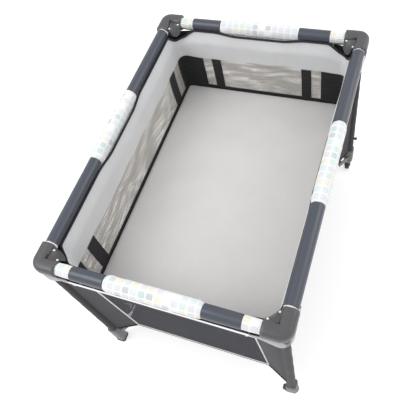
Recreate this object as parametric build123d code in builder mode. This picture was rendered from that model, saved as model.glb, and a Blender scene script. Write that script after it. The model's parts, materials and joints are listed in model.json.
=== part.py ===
from build123d import *
import os
from math import atan2, degrees, hypot, sqrt

os.makedirs("parts", exist_ok=True)

# Travel play yard with a bassinet hung on its rails. Millimetres, +Z up, origin on the floor at the centre.
# The short side lies along X and the long side along Y. Every corner piece is drawn in the +X +Y quadrant
# and mirrored to the other corners; every rail piece is drawn on a rail along X and then placed.

# Overall sizes, over the corner castings
width = 734.0
length = 1040.0
height = 735.0

# Clearances
running = 0.08  # a pin in its bore, on the radius
seat = 0.3  # soft or curved parts beside their neighbours
pad_gap = 1.0  # between a rail pad and a sleeve
swing_gap = 0.6  # beyond the arc that a tube's end sweeps

# Corner castings
arm_length = 75.0
arm_width = 46.0
casting_depth = 85.0  # from the top down to the lowest edge, beside the leg
arm_end_depth = 43.0  # from the top down to the underside at the end of an arm
corner_radius = 42.0
casting_top_edge = 6.0
rivet_cover = 6.0  # casting left beyond the end of a rivet's bore
rivet_end_gap = 1.0
rail_inset = 20.0  # a rail's axis inside the casting's outer face
leg_inset = 24.0  # a leg's axis inside the casting's outer faces

# Tubes and pins
leg_radius = 12.5
rail_radius = 11.0
floor_tube_radius = 9.0
tube_wall = 1.2
pin_radius = 3.0
rivet_head_radius = 5.0
rivet_head_height = 1.6
rivet_head_edge = 0.6

# Folding geometry
casting_pivot = 38.0  # from a leg's axis to the rail pivot in its casting
short_latch_pivot = 28.0  # from the middle of a short rail to its latch pivot
foot_pivot = 56.0  # from a leg's axis to the floor tube pivot, towards the middle
tube_past_pivot = 10.0  # how far a rail runs on past its pivot
floor_tube_past_pivot = 8.0
floor_tube_height = 72.0  # the floor tubes' axis above the floor

# Latches
cheek = 4.0
latch_height = 30.0
latch_past_pivot = 14.0
latch_edge = 2.0
button_radius = 5.0
button_length = 12.0
button_stands_out = 2.0
button_travel = 1.5
button_edge = 0.8
button_surround = 2.0  # the hole in the pad beyond the button, on the radius

# Rail pads
pad_radius = 26.0
pad_half_length = 140.0
pad_end_radius = 9.0

# Bassinet sleeves
sleeve_radius = 22.5
sleeve_wall = 2.5
sleeve_rib = 3.0
short_sleeve_end = 245.0
long_sleeve_end = 435.0
sleeve_fin = 3.0  # the thickness of the strip that carries the wall
sleeve_fin_drop = 14.0  # from the rail's axis down to the strip's underside

# Bassinet
bassinet_half_x = 312.0  # inside faces of the walls
bassinet_half_y = 462.0
wall = 3.0
mattress_top = 435.0
mattress_thickness = 22.0
mattress_gap = 4.0
mattress_edge = 7.0
mattress_corner = 18.0
wall_top = 705.0
bar_radius = 8.0
bar_spacing = 300.0
bar_short_of_wall = 6.0

# Outer cover
cover_thickness = 2.5
cover_ring = 3.6  # the fabric and hem around a leg
hem_height = 92.0
cover_top = 685.0
cover_corner_top = 640.0
cover_gusset_top = 380.0
cover_above_block = 2.0
gusset_thickness = 2.0
hem_inset = 65.0  # the hem inside the casting's outer face
cover_top_inset = 30.0
cover_casting_gap = 7.0  # the cover's upper strip stops this far short of a casting's arm
yard_floor_drop = 6.0  # the floor sheet's top above the hem
strap_slot_x = 66.0
strap_slot_y = 30.0

# Feet and casters
block_side = 36.0
block_corner = 8.0
block_top = 118.0
block_top_edge = 2.0
leg_bottom = 86.0
foot_pad_height = 6.0
foot_pad_lip = 2.0
foot_pad_edge = 1.5
bracket_bottom = 52.0
clevis_low = 60.0
clevis_high = 84.0
clevis_past_pivot = 10.0
clevis_root = 4.0  # how far a clevis runs into its foot block
wheel_radius = 22.0
wheel_width = 18.0
wheel_edge = 4.0
wheel_hub_radius = 12.0
wheel_hub_recess = 2.0
wheel_boss_wall = 2.5
wheel_side_gap = 0.6
wheel_top_gap = 1.0
caster_trail = 12.0
fork_radius = 17.0
fork_wall = 3.0
fork_eye_radius = 9.0
fork_leg_width = 16.0
fork_leg_shift = 2.0  # the fork's legs behind the middle of its crown
stem_radius = 4.0
stem_top = 80.0

# Hub
hub_radius = 44.0
hub_low = 58.0
hub_high = 90.0
strap_radius = 28.0
strap_thickness = 2.0
strap_width = 22.0
hub_edge = 3.0

# Derived places
leg_x = width / 2 - leg_inset
leg_y = length / 2 - leg_inset
rail_x = width / 2 - rail_inset
rail_y = length / 2 - rail_inset
rail_z = height - sleeve_radius - 0.5
leg_distance = hypot(leg_x, leg_y)
# The latch pivots keep one proportion on both sides, so each floor tube stays in its own diagonal plane
fold_share = (casting_pivot + short_latch_pivot) / leg_x
long_latch_pivot = fold_share * leg_y - casting_pivot
hub_pivot = fold_share * leg_distance - foot_pivot
floor_tube_span = leg_distance - foot_pivot - hub_pivot
swing = hypot(tube_past_pivot, rail_radius)  # the arc of a rail end about its pivot
casting_low = height - casting_depth
cover_low = block_top + cover_above_block
to_middle = (-leg_x / leg_distance, -leg_y / leg_distance, 0)

CORNERS = {
    "near_left": (-1, -1),
    "near_right": (1, -1),
    "far_left": (-1, 1),
    "far_right": (1, 1),
}
# Each rail: the place of its middle and the way it is turned, so that its own +Y side faces outwards
RAILS = {
    "near": (Location((0, -rail_y, rail_z), (0, 0, 180)), leg_x, short_latch_pivot, short_sleeve_end),
    "far": (Location((0, rail_y, rail_z), (0, 0, 0)), leg_x, short_latch_pivot, short_sleeve_end),
    "left": (Location((-rail_x, 0, rail_z), (0, 0, 90)), leg_y, long_latch_pivot, long_sleeve_end),
    "right": (Location((rail_x, 0, rail_z), (0, 0, -90)), leg_y, long_latch_pivot, long_sleeve_end),
}
# The two halves of each rail in its own frame: the end name and the side of the middle that it lies on
HALVES = {
    "near": {"left": 1, "right": -1},
    "far": {"left": -1, "right": 1},
    "left": {"near": -1, "far": 1},
    "right": {"near": 1, "far": -1},
}


def save(part, name):
    """Label a finished piece and write it."""
    part.label = name
    export_step(part, f"parts/{name}.step")


def at_corner(part, side_x, side_y):
    """A piece drawn in the +X +Y quadrant, mirrored to another corner."""
    if side_x < 0:
        part = part.mirror(Plane.YZ)
    if side_y < 0:
        part = part.mirror(Plane.XZ)
    return part


def group_at_corner(parts, side_x, side_y):
    """Several pieces of one node, mirrored to another corner."""
    return Compound(children=[at_corner(part, side_x, side_y) for part in parts])


def corner_plane(z):
    """A level plane at the leg's axis whose X runs towards the middle of the yard."""
    return Plane(origin=(leg_x, leg_y, z), x_dir=to_middle, z_dir=(0, 0, 1))


def corner_casting():
    """The moulded corner: two arms whose channels hold the rail ends, and a socket for the leg."""
    channel_width = 2 * (rail_radius + seat)
    channel_end = casting_pivot - swing - swing_gap
    ceiling = rail_z + swing + swing_gap
    slope = (casting_depth - arm_end_depth) / (arm_length - arm_width / 2)
    with BuildPart() as casting:
        with BuildSketch(Plane.XY.offset(casting_low)):
            with Locations((width / 2 - arm_length / 2, length / 2 - arm_width / 2)):
                Rectangle(arm_length, arm_width)
            with Locations((width / 2 - arm_width / 2, length / 2 - arm_length / 2)):
                Rectangle(arm_width, arm_length)
        extrude(amount=casting_depth)
        corner_edges = casting.edges().filter_by(Axis.Z)
        outer_corner = corner_edges.sort_by(lambda e: e.center().X + e.center().Y)[-1]
        fillet(outer_corner, corner_radius)
        fillet(casting.faces().sort_by(Axis.Z)[-1].edges(), casting_top_edge)
        underside = Plane(
            origin=(width / 2 - arm_length, length / 2 - arm_width / 2, height - arm_end_depth),
            z_dir=(slope, slope, 1),
        )
        split(bisect_by=underside, keep=Keep.TOP)
        with BuildSketch(Plane.XY.offset(ceiling)):
            with Locations((width / 2 - arm_length, rail_y)):
                Rectangle(
                    arm_length - leg_inset - channel_end, channel_width, align=(Align.MIN, Align.CENTER)
                )
            with Locations((rail_x, length / 2 - arm_length)):
                Rectangle(
                    channel_width, arm_length - leg_inset - channel_end, align=(Align.CENTER, Align.MIN)
                )
        extrude(amount=casting_low - ceiling, mode=Mode.SUBTRACT)
        with BuildSketch(Plane.XY.offset(rail_z + seat)):
            with Locations((leg_x, leg_y)):
                Circle(leg_radius + running)
        extrude(amount=casting_low - rail_z - seat, mode=Mode.SUBTRACT)
        bore_length = arm_width - rivet_cover
        with BuildSketch(Plane.XZ.offset(-(length / 2 - arm_width))):
            with Locations((leg_x - casting_pivot, rail_z)):
                Circle(pin_radius + running)
        extrude(amount=-bore_length, mode=Mode.SUBTRACT)
        with BuildSketch(Plane.YZ.offset(width / 2 - arm_width)):
            with Locations((leg_y - casting_pivot, rail_z)):
                Circle(pin_radius + running)
        extrude(amount=bore_length, mode=Mode.SUBTRACT)
    return casting.part


def rivet(plane, reach):
    """A rail rivet: its shank runs along the plane's normal and its domed head stands against the plane."""
    with BuildPart() as one:
        with BuildSketch(plane):
            Circle(pin_radius)
        extrude(amount=reach)
        with BuildSketch(plane):
            Circle(rivet_head_radius)
        extrude(amount=-rivet_head_height)
        fillet(one.edges().filter_by(GeomType.CIRCLE).group_by(SortBy.RADIUS)[-1][:1], rivet_head_edge)
    return one.part


def leg_tube():
    with BuildPart() as tube:
        with BuildSketch(Plane.XY.offset(leg_bottom)):
            with Locations((leg_x, leg_y)):
                Circle(leg_radius)
                Circle(leg_radius - tube_wall, mode=Mode.SUBTRACT)
        extrude(amount=rail_z - leg_bottom)
    return tube.part


def clevis_cheeks(plane, start, pivot):
    """Two upright plates either side of a floor tube's end, the plane's X running along the tube."""
    gap = floor_tube_radius + seat
    with BuildPart() as cheeks:
        with BuildSketch(plane):
            for side in (-1, 1):
                with Locations(((start + pivot + clevis_past_pivot) / 2, side * (gap + cheek / 2))):
                    Rectangle(pivot + clevis_past_pivot - start, cheek)
        extrude(amount=clevis_high - clevis_low)
    return cheeks.part


def clevis_cylinder(plane, at, radius):
    """A round bar across a clevis, level with its cheeks: its pin, or the bore for it."""
    across = Plane(origin=plane.from_local_coords((at, 0, 0)), x_dir=plane.z_dir, z_dir=plane.y_dir)
    with BuildPart() as bar:
        with BuildSketch(across):
            Circle(radius)
        extrude(amount=floor_tube_radius + seat + cheek, both=True)
    return bar.part


def leg_block(bottom, with_stem):
    """The moulded block under a leg, with the clevis of a floor tube, and the clevis's pin."""
    cheeks = clevis_cheeks(corner_plane(clevis_low), block_side / 2 - clevis_root, foot_pivot)
    bore = clevis_cylinder(corner_plane(floor_tube_height), foot_pivot, pin_radius + running)
    pin = clevis_cylinder(corner_plane(floor_tube_height), foot_pivot, pin_radius)
    with BuildPart() as block:
        with BuildSketch(Plane.XY.offset(bottom)):
            with Locations((leg_x, leg_y)):
                RectangleRounded(block_side, block_side, block_corner)
        extrude(amount=block_top - bottom)
        fillet(block.faces().sort_by(Axis.Z)[-1].edges(), block_top_edge)
        add(cheeks)
        with BuildSketch(Plane.XY.offset(leg_bottom - seat)):
            with Locations((leg_x, leg_y)):
                Circle(leg_radius + running)
        extrude(amount=block_top - leg_bottom + seat, mode=Mode.SUBTRACT)
        add(bore, mode=Mode.SUBTRACT)
        if with_stem:
            with BuildSketch(Plane.XY.offset(bottom)):
                with Locations((leg_x, leg_y)):
                    Circle(stem_radius + running)
            extrude(amount=stem_top + seat - bottom, mode=Mode.SUBTRACT)
    return [block.part, pin]


def foot_pad():
    with BuildPart() as pad:
        with BuildSketch(Plane.XY):
            with Locations((leg_x, leg_y)):
                side = block_side + 2 * foot_pad_lip
                RectangleRounded(side, side, block_corner + foot_pad_lip)
        extrude(amount=foot_pad_height)
        fillet(pad.faces().sort_by(Axis.Z)[-1].edges(), foot_pad_edge)
    return pad.part


def caster_fork():
    """A fork with its stem at the origin and the wheel trailing along -X, and the separate axle."""
    cheek_inside = wheel_width / 2 + wheel_side_gap
    crown_low = 2 * wheel_radius + wheel_top_gap
    with BuildPart() as fork:
        with BuildSketch(Plane.XY.offset(crown_low)):
            SlotCenterToCenter(caster_trail, 2 * fork_radius)
        extrude(amount=bracket_bottom - seat - crown_low)
        with BuildSketch(Plane.XZ.offset(cheek_inside)) :
            with Locations((-caster_trail, wheel_radius)):
                Circle(fork_eye_radius)
            with Locations((-caster_trail / 2 - fork_leg_shift, wheel_radius)):
                Rectangle(fork_leg_width, crown_low - wheel_radius + seat, align=(Align.CENTER, Align.MIN))
        extrude(amount=fork_wall)
        mirror(about=Plane.XZ)
        with BuildSketch(Plane.XY.offset(crown_low)):
            Circle(stem_radius)
        extrude(amount=stem_top - crown_low)
        with BuildSketch(Plane.XZ):
            with Locations((-caster_trail, wheel_radius)):
                Circle(pin_radius + running)
        extrude(amount=wheel_width, both=True, mode=Mode.SUBTRACT)
    with BuildPart() as axle:
        with BuildSketch(Plane.XZ):
            with Locations((-caster_trail, wheel_radius)):
                Circle(pin_radius)
        extrude(amount=cheek_inside + fork_wall, both=True)
    return Compound(children=[fork.part, axle.part])


def caster_wheel():
    with BuildPart() as wheel:
        with BuildSketch(Plane.XZ):
            with Locations((-caster_trail, wheel_radius)):
                Circle(wheel_radius)
        extrude(amount=wheel_width / 2, both=True)
        fillet(wheel.edges().filter_by(GeomType.CIRCLE), wheel_edge)
        for side in (-1, 1):
            with BuildSketch(Plane.XZ.offset(side * wheel_width / 2)):
                with Locations((-caster_trail, wheel_radius)):
                    Circle(wheel_hub_radius)
                    Circle(pin_radius + wheel_boss_wall, mode=Mode.SUBTRACT)
            extrude(amount=-side * wheel_hub_recess, mode=Mode.SUBTRACT)
        with BuildSketch(Plane.XZ):
            with Locations((-caster_trail, wheel_radius)):
                Circle(pin_radius + running)
        extrude(amount=wheel_width, both=True, mode=Mode.SUBTRACT)
    return wheel.part


def half_rail(leg, latch_pivot):
    """Half a rail along +X: a tube from its latch pivot out to its casting pivot, cross-bored at both."""
    start = latch_pivot - tube_past_pivot
    end = leg - casting_pivot + tube_past_pivot
    with BuildPart() as tube:
        with BuildSketch(Plane.YZ.offset(start)):
            Circle(rail_radius)
            Circle(rail_radius - tube_wall, mode=Mode.SUBTRACT)
        extrude(amount=end - start)
        with BuildSketch(Plane.XZ):
            with Locations((latch_pivot, 0), (leg - casting_pivot, 0)):
                Circle(pin_radius + running)
        extrude(amount=2 * rail_radius, both=True, mode=Mode.SUBTRACT)
    return tube.part


def latch(pivot):
    """The housing at the middle of a rail, with two cheeks around the half rails' ends and its two pins."""
    inside = rail_radius + seat
    block_half = pivot - swing - swing_gap
    with BuildPart() as housing:
        with BuildSketch(Plane.XY.offset(-latch_height / 2)):
            for side in (-1, 1):
                with Locations((0, side * (inside + cheek / 2))):
                    Rectangle(2 * (pivot + latch_past_pivot), cheek)
            Rectangle(2 * block_half, 2 * inside)
        extrude(amount=latch_height)
        fillet(housing.edges().filter_by(Axis.Y).group_by(Axis.Z)[-1], latch_edge)
        with BuildSketch(Plane.XZ):
            with Locations((-pivot, 0), (pivot, 0)):
                Circle(pin_radius + running)
        extrude(amount=2 * (inside + cheek), both=True, mode=Mode.SUBTRACT)
        with BuildSketch(Plane.XZ.offset(-(inside + cheek))):
            Circle(button_radius + running)
        extrude(amount=button_length + button_travel + seat, mode=Mode.SUBTRACT)
    pins = []
    for side in (-1, 1):
        with BuildPart() as pin:
            with BuildSketch(Plane.XZ):
                with Locations((side * pivot, 0)):
                    Circle(pin_radius)
            extrude(amount=inside + cheek, both=True)
        pins.append(pin.part)
    return Compound(children=[housing.part, *pins])


def latch_button():
    """The push button in the outward face of a latch; it slides inwards."""
    face = rail_radius + seat + cheek + button_stands_out
    with BuildPart() as button:
        with BuildSketch(Plane.XZ.offset(-face)):
            Circle(button_radius)
        extrude(amount=button_length + button_stands_out)
        fillet(button.faces().sort_by(Axis.Y)[-1].edges(), button_edge)
    return button.part


def rail_pad(latch_pivot):
    """The padded cover over the middle of a rail, hollow around the latch."""
    inside = rail_radius + seat + cheek + seat
    with BuildPart() as pad:
        with BuildSketch(Plane.YZ.offset(-pad_half_length)):
            Circle(pad_radius)
        extrude(amount=2 * pad_half_length)
        fillet(pad.edges().filter_by(GeomType.CIRCLE), pad_end_radius)
        with BuildSketch(Plane.YZ.offset(-pad_half_length)):
            Circle(rail_radius + seat)
        extrude(amount=2 * pad_half_length, mode=Mode.SUBTRACT)
        with BuildSketch(Plane.YZ.offset(-(latch_pivot + latch_past_pivot + seat))):
            Rectangle(2 * inside, latch_height + 2 * seat)
        extrude(amount=2 * (latch_pivot + latch_past_pivot + seat), mode=Mode.SUBTRACT)
        with BuildSketch(Plane.XZ.offset(-(inside - seat))):
            Circle(button_radius + button_surround)
        extrude(amount=-(button_stands_out + seat), mode=Mode.SUBTRACT)
    return pad.part


def rail_sleeve(start, end, wall_distance):
    """A snap-on sleeve along +X: open below, ribbed on the rail, with the strip that carries the wall."""
    rib_bore = rail_radius + seat
    with BuildPart() as sleeve:
        with BuildSketch(Plane.YZ.offset(start)):
            Circle(sleeve_radius)
            Circle(sleeve_radius - sleeve_wall, mode=Mode.SUBTRACT)
            Rectangle(2 * rib_bore, 2 * sleeve_radius, align=(Align.CENTER, Align.MAX), mode=Mode.SUBTRACT)
            fin_root = -sqrt((sleeve_radius - sleeve_wall / 2) ** 2 - sleeve_fin_drop**2)
            with Locations((-wall_distance, -sleeve_fin_drop)):
                Rectangle(wall_distance + fin_root, sleeve_fin, align=(Align.MIN, Align.MIN))
        extrude(amount=end - start)
        for at in (start, (start + end - sleeve_rib) / 2, end - sleeve_rib):
            with BuildSketch(Plane.YZ.offset(at)):
                Circle(sleeve_radius - sleeve_wall / 2)
                Circle(rib_bore, mode=Mode.SUBTRACT)
                Rectangle(
                    2 * rib_bore,
                    2 * sleeve_radius,
                    align=(Align.CENTER, Align.MAX),
                    mode=Mode.SUBTRACT,
                )
            extrude(amount=sleeve_rib)
    return sleeve.part


def leaning_panel(half, reach, top):
    """A thin panel of the outer cover across +X, leaning outwards from the hem up to the given height.

    half is the side's distance from the middle, over the castings. The panel runs from X = 0 to reach.
    """
    lean = (hem_inset - cover_top_inset) / (cover_top - hem_height)
    low = half - hem_inset
    high = low + lean * (top - hem_height)
    with BuildPart() as panel:
        with BuildSketch(Plane.YZ):
            with BuildLine():
                Polyline(
                    (low, hem_height),
                    (low + cover_thickness, hem_height),
                    (high + cover_thickness, top),
                    (high, top),
                    close=True,
                )
            make_face()
        extrude(amount=reach)
    return panel.part


def cover_quarter():
    """A quarter of the outer cover: a sleeve around the leg and half of the panel on either side of it."""
    short_panels = [
        leaning_panel(length / 2, width / 2 - arm_length - cover_casting_gap, cover_top),
        leaning_panel(length / 2, leg_x - leg_radius, cover_corner_top),
    ]
    long_panels = [
        leaning_panel(width / 2, length / 2 - arm_length - cover_casting_gap, cover_top),
        leaning_panel(width / 2, leg_y - leg_radius, cover_corner_top),
    ]
    swap = Plane(origin=(0, 0, 0), z_dir=(1, -1, 0))
    with BuildPart() as quarter:
        add(short_panels)
        add([panel.mirror(swap) for panel in long_panels])
        with BuildSketch(Plane.XY.offset(cover_low)):
            with Locations((leg_x, leg_y)):
                Circle(leg_radius + cover_ring)
        extrude(amount=cover_corner_top - cover_low)
        # below the bassinet a gusset ties the leg sleeve to the leaning panels
        gusset_span = hem_inset - leg_inset
        with BuildSketch(Plane.XY.offset(cover_low)):
            with Locations(Location((leg_x - gusset_span / 2, leg_y - gusset_span / 2, 0), (0, 0, 45))):
                Rectangle(sqrt(2) * gusset_span, gusset_thickness)
        extrude(amount=cover_gusset_top - cover_low)
        with BuildSketch(Plane.XY):
            with Locations((leg_x, leg_y)):
                Circle(leg_radius + running)
        extrude(amount=height, mode=Mode.SUBTRACT)
    return quarter.part


def yard_floor():
    """The fabric floor of the yard, slotted for the lifting strap."""
    hem_x = width / 2 - hem_inset
    hem_y = length / 2 - hem_inset
    with BuildPart() as sheet:
        with BuildSketch(Plane.XY.offset(hem_height + yard_floor_drop - wall)):
            Rectangle(2 * (hem_x - seat), 2 * (hem_y - seat))
            Rectangle(strap_slot_x, strap_slot_y, mode=Mode.SUBTRACT)
        extrude(amount=wall)
    return sheet.part


def hub_planes(z):
    """Level planes at the hub's centre, one towards each leg."""
    for side_x, side_y in CORNERS.values():
        yield Plane(origin=(0, 0, z), x_dir=(side_x * leg_x, side_y * leg_y, 0), z_dir=(0, 0, 1))


def hub():
    """The centre hub, with four clevises, and its four pins."""
    clevis_start = hub_radius - clevis_past_pivot
    clevises = [clevis_cheeks(plane, clevis_start, hub_pivot) for plane in hub_planes(clevis_low)]
    levels = list(hub_planes(floor_tube_height))
    bores = [clevis_cylinder(plane, hub_pivot, pin_radius + running) for plane in levels]
    pins = [clevis_cylinder(plane, hub_pivot, pin_radius) for plane in levels]
    with BuildPart() as body:
        with BuildSketch(Plane.XY.offset(hub_low)):
            Circle(hub_radius)
        extrude(amount=hub_high - hub_low)
        fillet(body.edges().filter_by(GeomType.CIRCLE), hub_edge)
        add(clevises)
        add(bores, mode=Mode.SUBTRACT)
    return Compound(children=[body.part, *pins])


def hub_strap():
    """The webbing loop that folds the yard when it is pulled up."""
    with BuildPart() as strap:
        with BuildSketch(Plane.XZ.offset(-strap_width / 2)):
            with Locations((0, hub_high)):
                Circle(strap_radius)
                Circle(strap_radius - strap_thickness, mode=Mode.SUBTRACT)
                Rectangle(
                    2 * strap_radius,
                    strap_radius,
                    align=(Align.CENTER, Align.MAX),
                    mode=Mode.SUBTRACT,
                )
        extrude(amount=strap_width)
    return strap.part


def floor_tube():
    """A floor tube along +X from its hub pivot, cross-bored at both ends."""
    with BuildPart() as tube:
        with BuildSketch(Plane.YZ.offset(-floor_tube_past_pivot)):
            Circle(floor_tube_radius)
            Circle(floor_tube_radius - tube_wall, mode=Mode.SUBTRACT)
        extrude(amount=floor_tube_span + 2 * floor_tube_past_pivot)
        with BuildSketch(Plane.XZ):
            with Locations((0, 0), (floor_tube_span, 0)):
                Circle(pin_radius + running)
        extrude(amount=2 * floor_tube_radius, both=True, mode=Mode.SUBTRACT)
    return tube.part


def bassinet_wall(half_span, distance):
    """One wall of the bassinet, drawn across X at +Y."""
    bottom = mattress_top - mattress_thickness - wall
    with BuildPart() as panel:
        with BuildSketch(Plane.XZ.offset(-distance)):
            with Locations((0, bottom)):
                Rectangle(2 * half_span, wall_top - bottom, align=(Align.CENTER, Align.MIN))
        extrude(amount=-wall)
    return panel.part


def bassinet_floor():
    with BuildPart() as sheet:
        with BuildSketch(Plane.XY.offset(mattress_top - mattress_thickness - wall)):
            Rectangle(2 * bassinet_half_x, 2 * bassinet_half_y)
        extrude(amount=wall)
    return sheet.part


def mattress():
    with BuildPart() as pad:
        with BuildSketch(Plane.XY.offset(mattress_top - mattress_thickness)):
            RectangleRounded(
                2 * (bassinet_half_x - mattress_gap), 2 * (bassinet_half_y - mattress_gap), mattress_corner
            )
        extrude(amount=mattress_thickness)
        fillet(pad.faces().sort_by(Axis.Z)[-1].edges(), mattress_edge)
    return pad.part


def support_bars():
    """The two steel bars under the bassinet's floor."""
    z = mattress_top - mattress_thickness - wall - bar_radius
    reach = bassinet_half_y - bar_short_of_wall
    with BuildPart() as bars:
        with BuildSketch(Plane.XZ.offset(-reach)):
            with Locations((-bar_spacing / 2, z), (bar_spacing / 2, z)):
                Circle(bar_radius)
                Circle(bar_radius - tube_wall, mode=Mode.SUBTRACT)
        extrude(amount=2 * reach)
    return bars.part


# Corner pieces
casting_part = corner_casting()
rivet_reach = arm_width - rivet_cover - rivet_end_gap
rivets = [
    rivet(
        Plane(origin=(leg_x - casting_pivot, length / 2 - arm_width, rail_z), z_dir=(0, 1, 0)), rivet_reach
    ),
    rivet(
        Plane(origin=(width / 2 - arm_width, leg_y - casting_pivot, rail_z), z_dir=(1, 0, 0)), rivet_reach
    ),
]
tube_part = leg_tube()
quarter_part = cover_quarter()
for corner, (side_x, side_y) in CORNERS.items():
    save(group_at_corner([casting_part, *rivets], side_x, side_y), f"corner_casting_{corner}")
    save(at_corner(tube_part, side_x, side_y), f"leg_tube_{corner}")
    save(at_corner(quarter_part, side_x, side_y), f"outer_cover_{corner}")

# Fixed feet on the left legs, casters on the right
foot_parts = leg_block(foot_pad_height, with_stem=False)
pad_part = foot_pad()
bracket_parts = leg_block(bracket_bottom, with_stem=True)
for corner in ("near_left", "far_left"):
    side_x, side_y = CORNERS[corner]
    save(group_at_corner(foot_parts, side_x, side_y), f"foot_{corner}")
    save(at_corner(pad_part, side_x, side_y), f"foot_pad_{corner}")
fork_part = caster_fork()
wheel_part = caster_wheel()
CASTER_TURN = {"near_right": 0, "far_right": 90}
for corner, turn in CASTER_TURN.items():
    side_x, side_y = CORNERS[corner]
    place = Location((side_x * leg_x, side_y * leg_y, 0), (0, 0, turn))
    save(group_at_corner(bracket_parts, side_x, side_y), f"caster_bracket_{corner}")
    save(place * fork_part, f"caster_fork_{corner}")
    save(place * wheel_part, f"caster_wheel_{corner}")

# Rails with their latches, pads and bassinet sleeves
for rail, (place, leg, pivot, sleeve_end) in RAILS.items():
    wall_distance = (rail_y - bassinet_half_y if leg == leg_x else rail_x - bassinet_half_x) - wall
    for end, side in HALVES[rail].items():
        half = half_rail(leg, pivot)
        save(place * (half if side > 0 else half.mirror(Plane.YZ)), f"rail_{rail}_{end}_half")
    sleeve = rail_sleeve(pad_half_length + pad_gap, sleeve_end, wall_distance)
    pair = Compound(children=[sleeve, sleeve.mirror(Plane.YZ)])
    save(place * pair, f"bassinet_sleeves_{rail}")
    save(place * latch(pivot), f"latch_{rail}")
    save(place * latch_button(), f"latch_button_{rail}")
    save(place * rail_pad(pivot), f"rail_pad_{rail}")

# Floor frame
save(hub(), "hub")
save(hub_strap(), "hub_strap")
floor_tube_part = floor_tube()
for corner, (side_x, side_y) in CORNERS.items():
    heading = degrees(atan2(side_y * leg_y, side_x * leg_x))
    inner_end = (side_x * hub_pivot * leg_x / leg_distance, side_y * hub_pivot * leg_y / leg_distance)
    place = Location((*inner_end, floor_tube_height), (0, 0, heading))
    save(place * floor_tube_part, f"floor_tube_{corner}")
save(yard_floor(), "yard_floor")

# Bassinet
far_wall = bassinet_wall(bassinet_half_x + wall, bassinet_half_y)
side_wall = bassinet_wall(bassinet_half_y, bassinet_half_x)
save(far_wall, "bassinet_wall_far")
save(far_wall.mirror(Plane.XZ), "bassinet_wall_near")
save(Location((0, 0, 0), (0, 0, 90)) * side_wall, "bassinet_wall_left")
save(Location((0, 0, 0), (0, 0, -90)) * side_wall, "bassinet_wall_right")
save(bassinet_floor(), "bassinet_floor")
save(support_bars(), "bassinet_support_bars")
save(mattress(), "mattress")
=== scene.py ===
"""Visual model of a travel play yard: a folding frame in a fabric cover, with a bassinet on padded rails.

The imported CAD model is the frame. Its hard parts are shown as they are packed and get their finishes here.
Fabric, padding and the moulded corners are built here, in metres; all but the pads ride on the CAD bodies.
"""

from __future__ import annotations

import json
import logging
import math
from dataclasses import dataclass
from enum import Enum
from functools import cache

import bmesh
import bpy
import numpy as np
from mathutils import Matrix, Vector

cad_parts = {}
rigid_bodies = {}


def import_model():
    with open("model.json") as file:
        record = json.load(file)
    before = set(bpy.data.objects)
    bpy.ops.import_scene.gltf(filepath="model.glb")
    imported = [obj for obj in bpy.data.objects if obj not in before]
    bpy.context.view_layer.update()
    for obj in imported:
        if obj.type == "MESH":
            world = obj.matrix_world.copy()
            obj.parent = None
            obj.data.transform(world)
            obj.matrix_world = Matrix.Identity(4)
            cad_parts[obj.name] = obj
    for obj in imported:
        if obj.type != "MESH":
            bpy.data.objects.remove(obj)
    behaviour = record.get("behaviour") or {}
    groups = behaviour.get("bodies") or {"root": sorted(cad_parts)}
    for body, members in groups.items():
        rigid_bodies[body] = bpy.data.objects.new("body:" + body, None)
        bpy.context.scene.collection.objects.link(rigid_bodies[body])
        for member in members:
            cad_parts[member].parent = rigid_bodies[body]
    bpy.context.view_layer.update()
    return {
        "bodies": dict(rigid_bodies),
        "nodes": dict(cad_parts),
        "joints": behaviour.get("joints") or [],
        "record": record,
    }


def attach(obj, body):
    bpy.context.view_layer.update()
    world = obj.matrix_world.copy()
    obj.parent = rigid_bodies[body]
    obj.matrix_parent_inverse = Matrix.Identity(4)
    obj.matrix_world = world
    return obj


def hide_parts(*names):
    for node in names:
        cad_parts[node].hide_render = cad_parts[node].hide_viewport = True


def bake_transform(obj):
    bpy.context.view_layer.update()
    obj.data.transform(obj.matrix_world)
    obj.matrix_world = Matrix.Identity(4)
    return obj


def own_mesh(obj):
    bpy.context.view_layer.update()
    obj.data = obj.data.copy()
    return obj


LOG = logging.getLogger("play_yard")

Array = np.ndarray
Colour = tuple[float, float, float]
Socket = bpy.types.NodeSocket
Object = bpy.types.Object
Tree = bpy.types.NodeTree
Inputs = dict[str | int, object]
Faces = list[tuple[int, ...]]


class Corner(Enum):
    """The four corners, each with the signs of its X and Y."""

    NEAR_LEFT = (-1, -1)
    NEAR_RIGHT = (1, -1)
    FAR_LEFT = (-1, 1)
    FAR_RIGHT = (1, 1)

    @property
    def label(self) -> str:
        """The corner's name in node, body and piece names."""
        return self.name.lower()

    @property
    def mirror(self) -> Array:
        """The factors that mirror points drawn in the +X +Y quadrant to this corner."""
        return np.array([*self.value, 1.0])

    def half_rail(self, short: bool) -> str:
        """The name of the half rail that ends at this corner.

        Args:
            short: Whether it is on a short side.

        Returns:
            The half rail's node name.
        """
        out, along = self.value[::-1] if short else self.value
        rail = next(rail for rail in Rail if rail.is_short == short and sum(rail.value[0]) == out)
        return f"rail_{rail.label}_{rail.end_labels[(along + 1) // 2]}_half"


class Rail(Enum):
    """The four top rails: outward direction, then the direction in which the rail's own X runs."""

    NEAR = ((0, -1), (1, 0))
    FAR = ((0, 1), (1, 0))
    LEFT = ((-1, 0), (0, 1))
    RIGHT = ((1, 0), (0, 1))

    @property
    def label(self) -> str:
        """The rail's name in node, body and piece names."""
        return self.name.lower()

    @property
    def is_short(self) -> bool:
        """Whether the rail is on a short side."""
        return self in (Rail.NEAR, Rail.FAR)

    @property
    def number(self) -> int:
        """Its place among the rails, from 0."""
        return list(Rail).index(self)

    @property
    def end_labels(self) -> tuple[str, str]:
        """The names of its two halves, at the negative and the positive end."""
        return ("left", "right") if self.is_short else ("near", "far")


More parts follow.
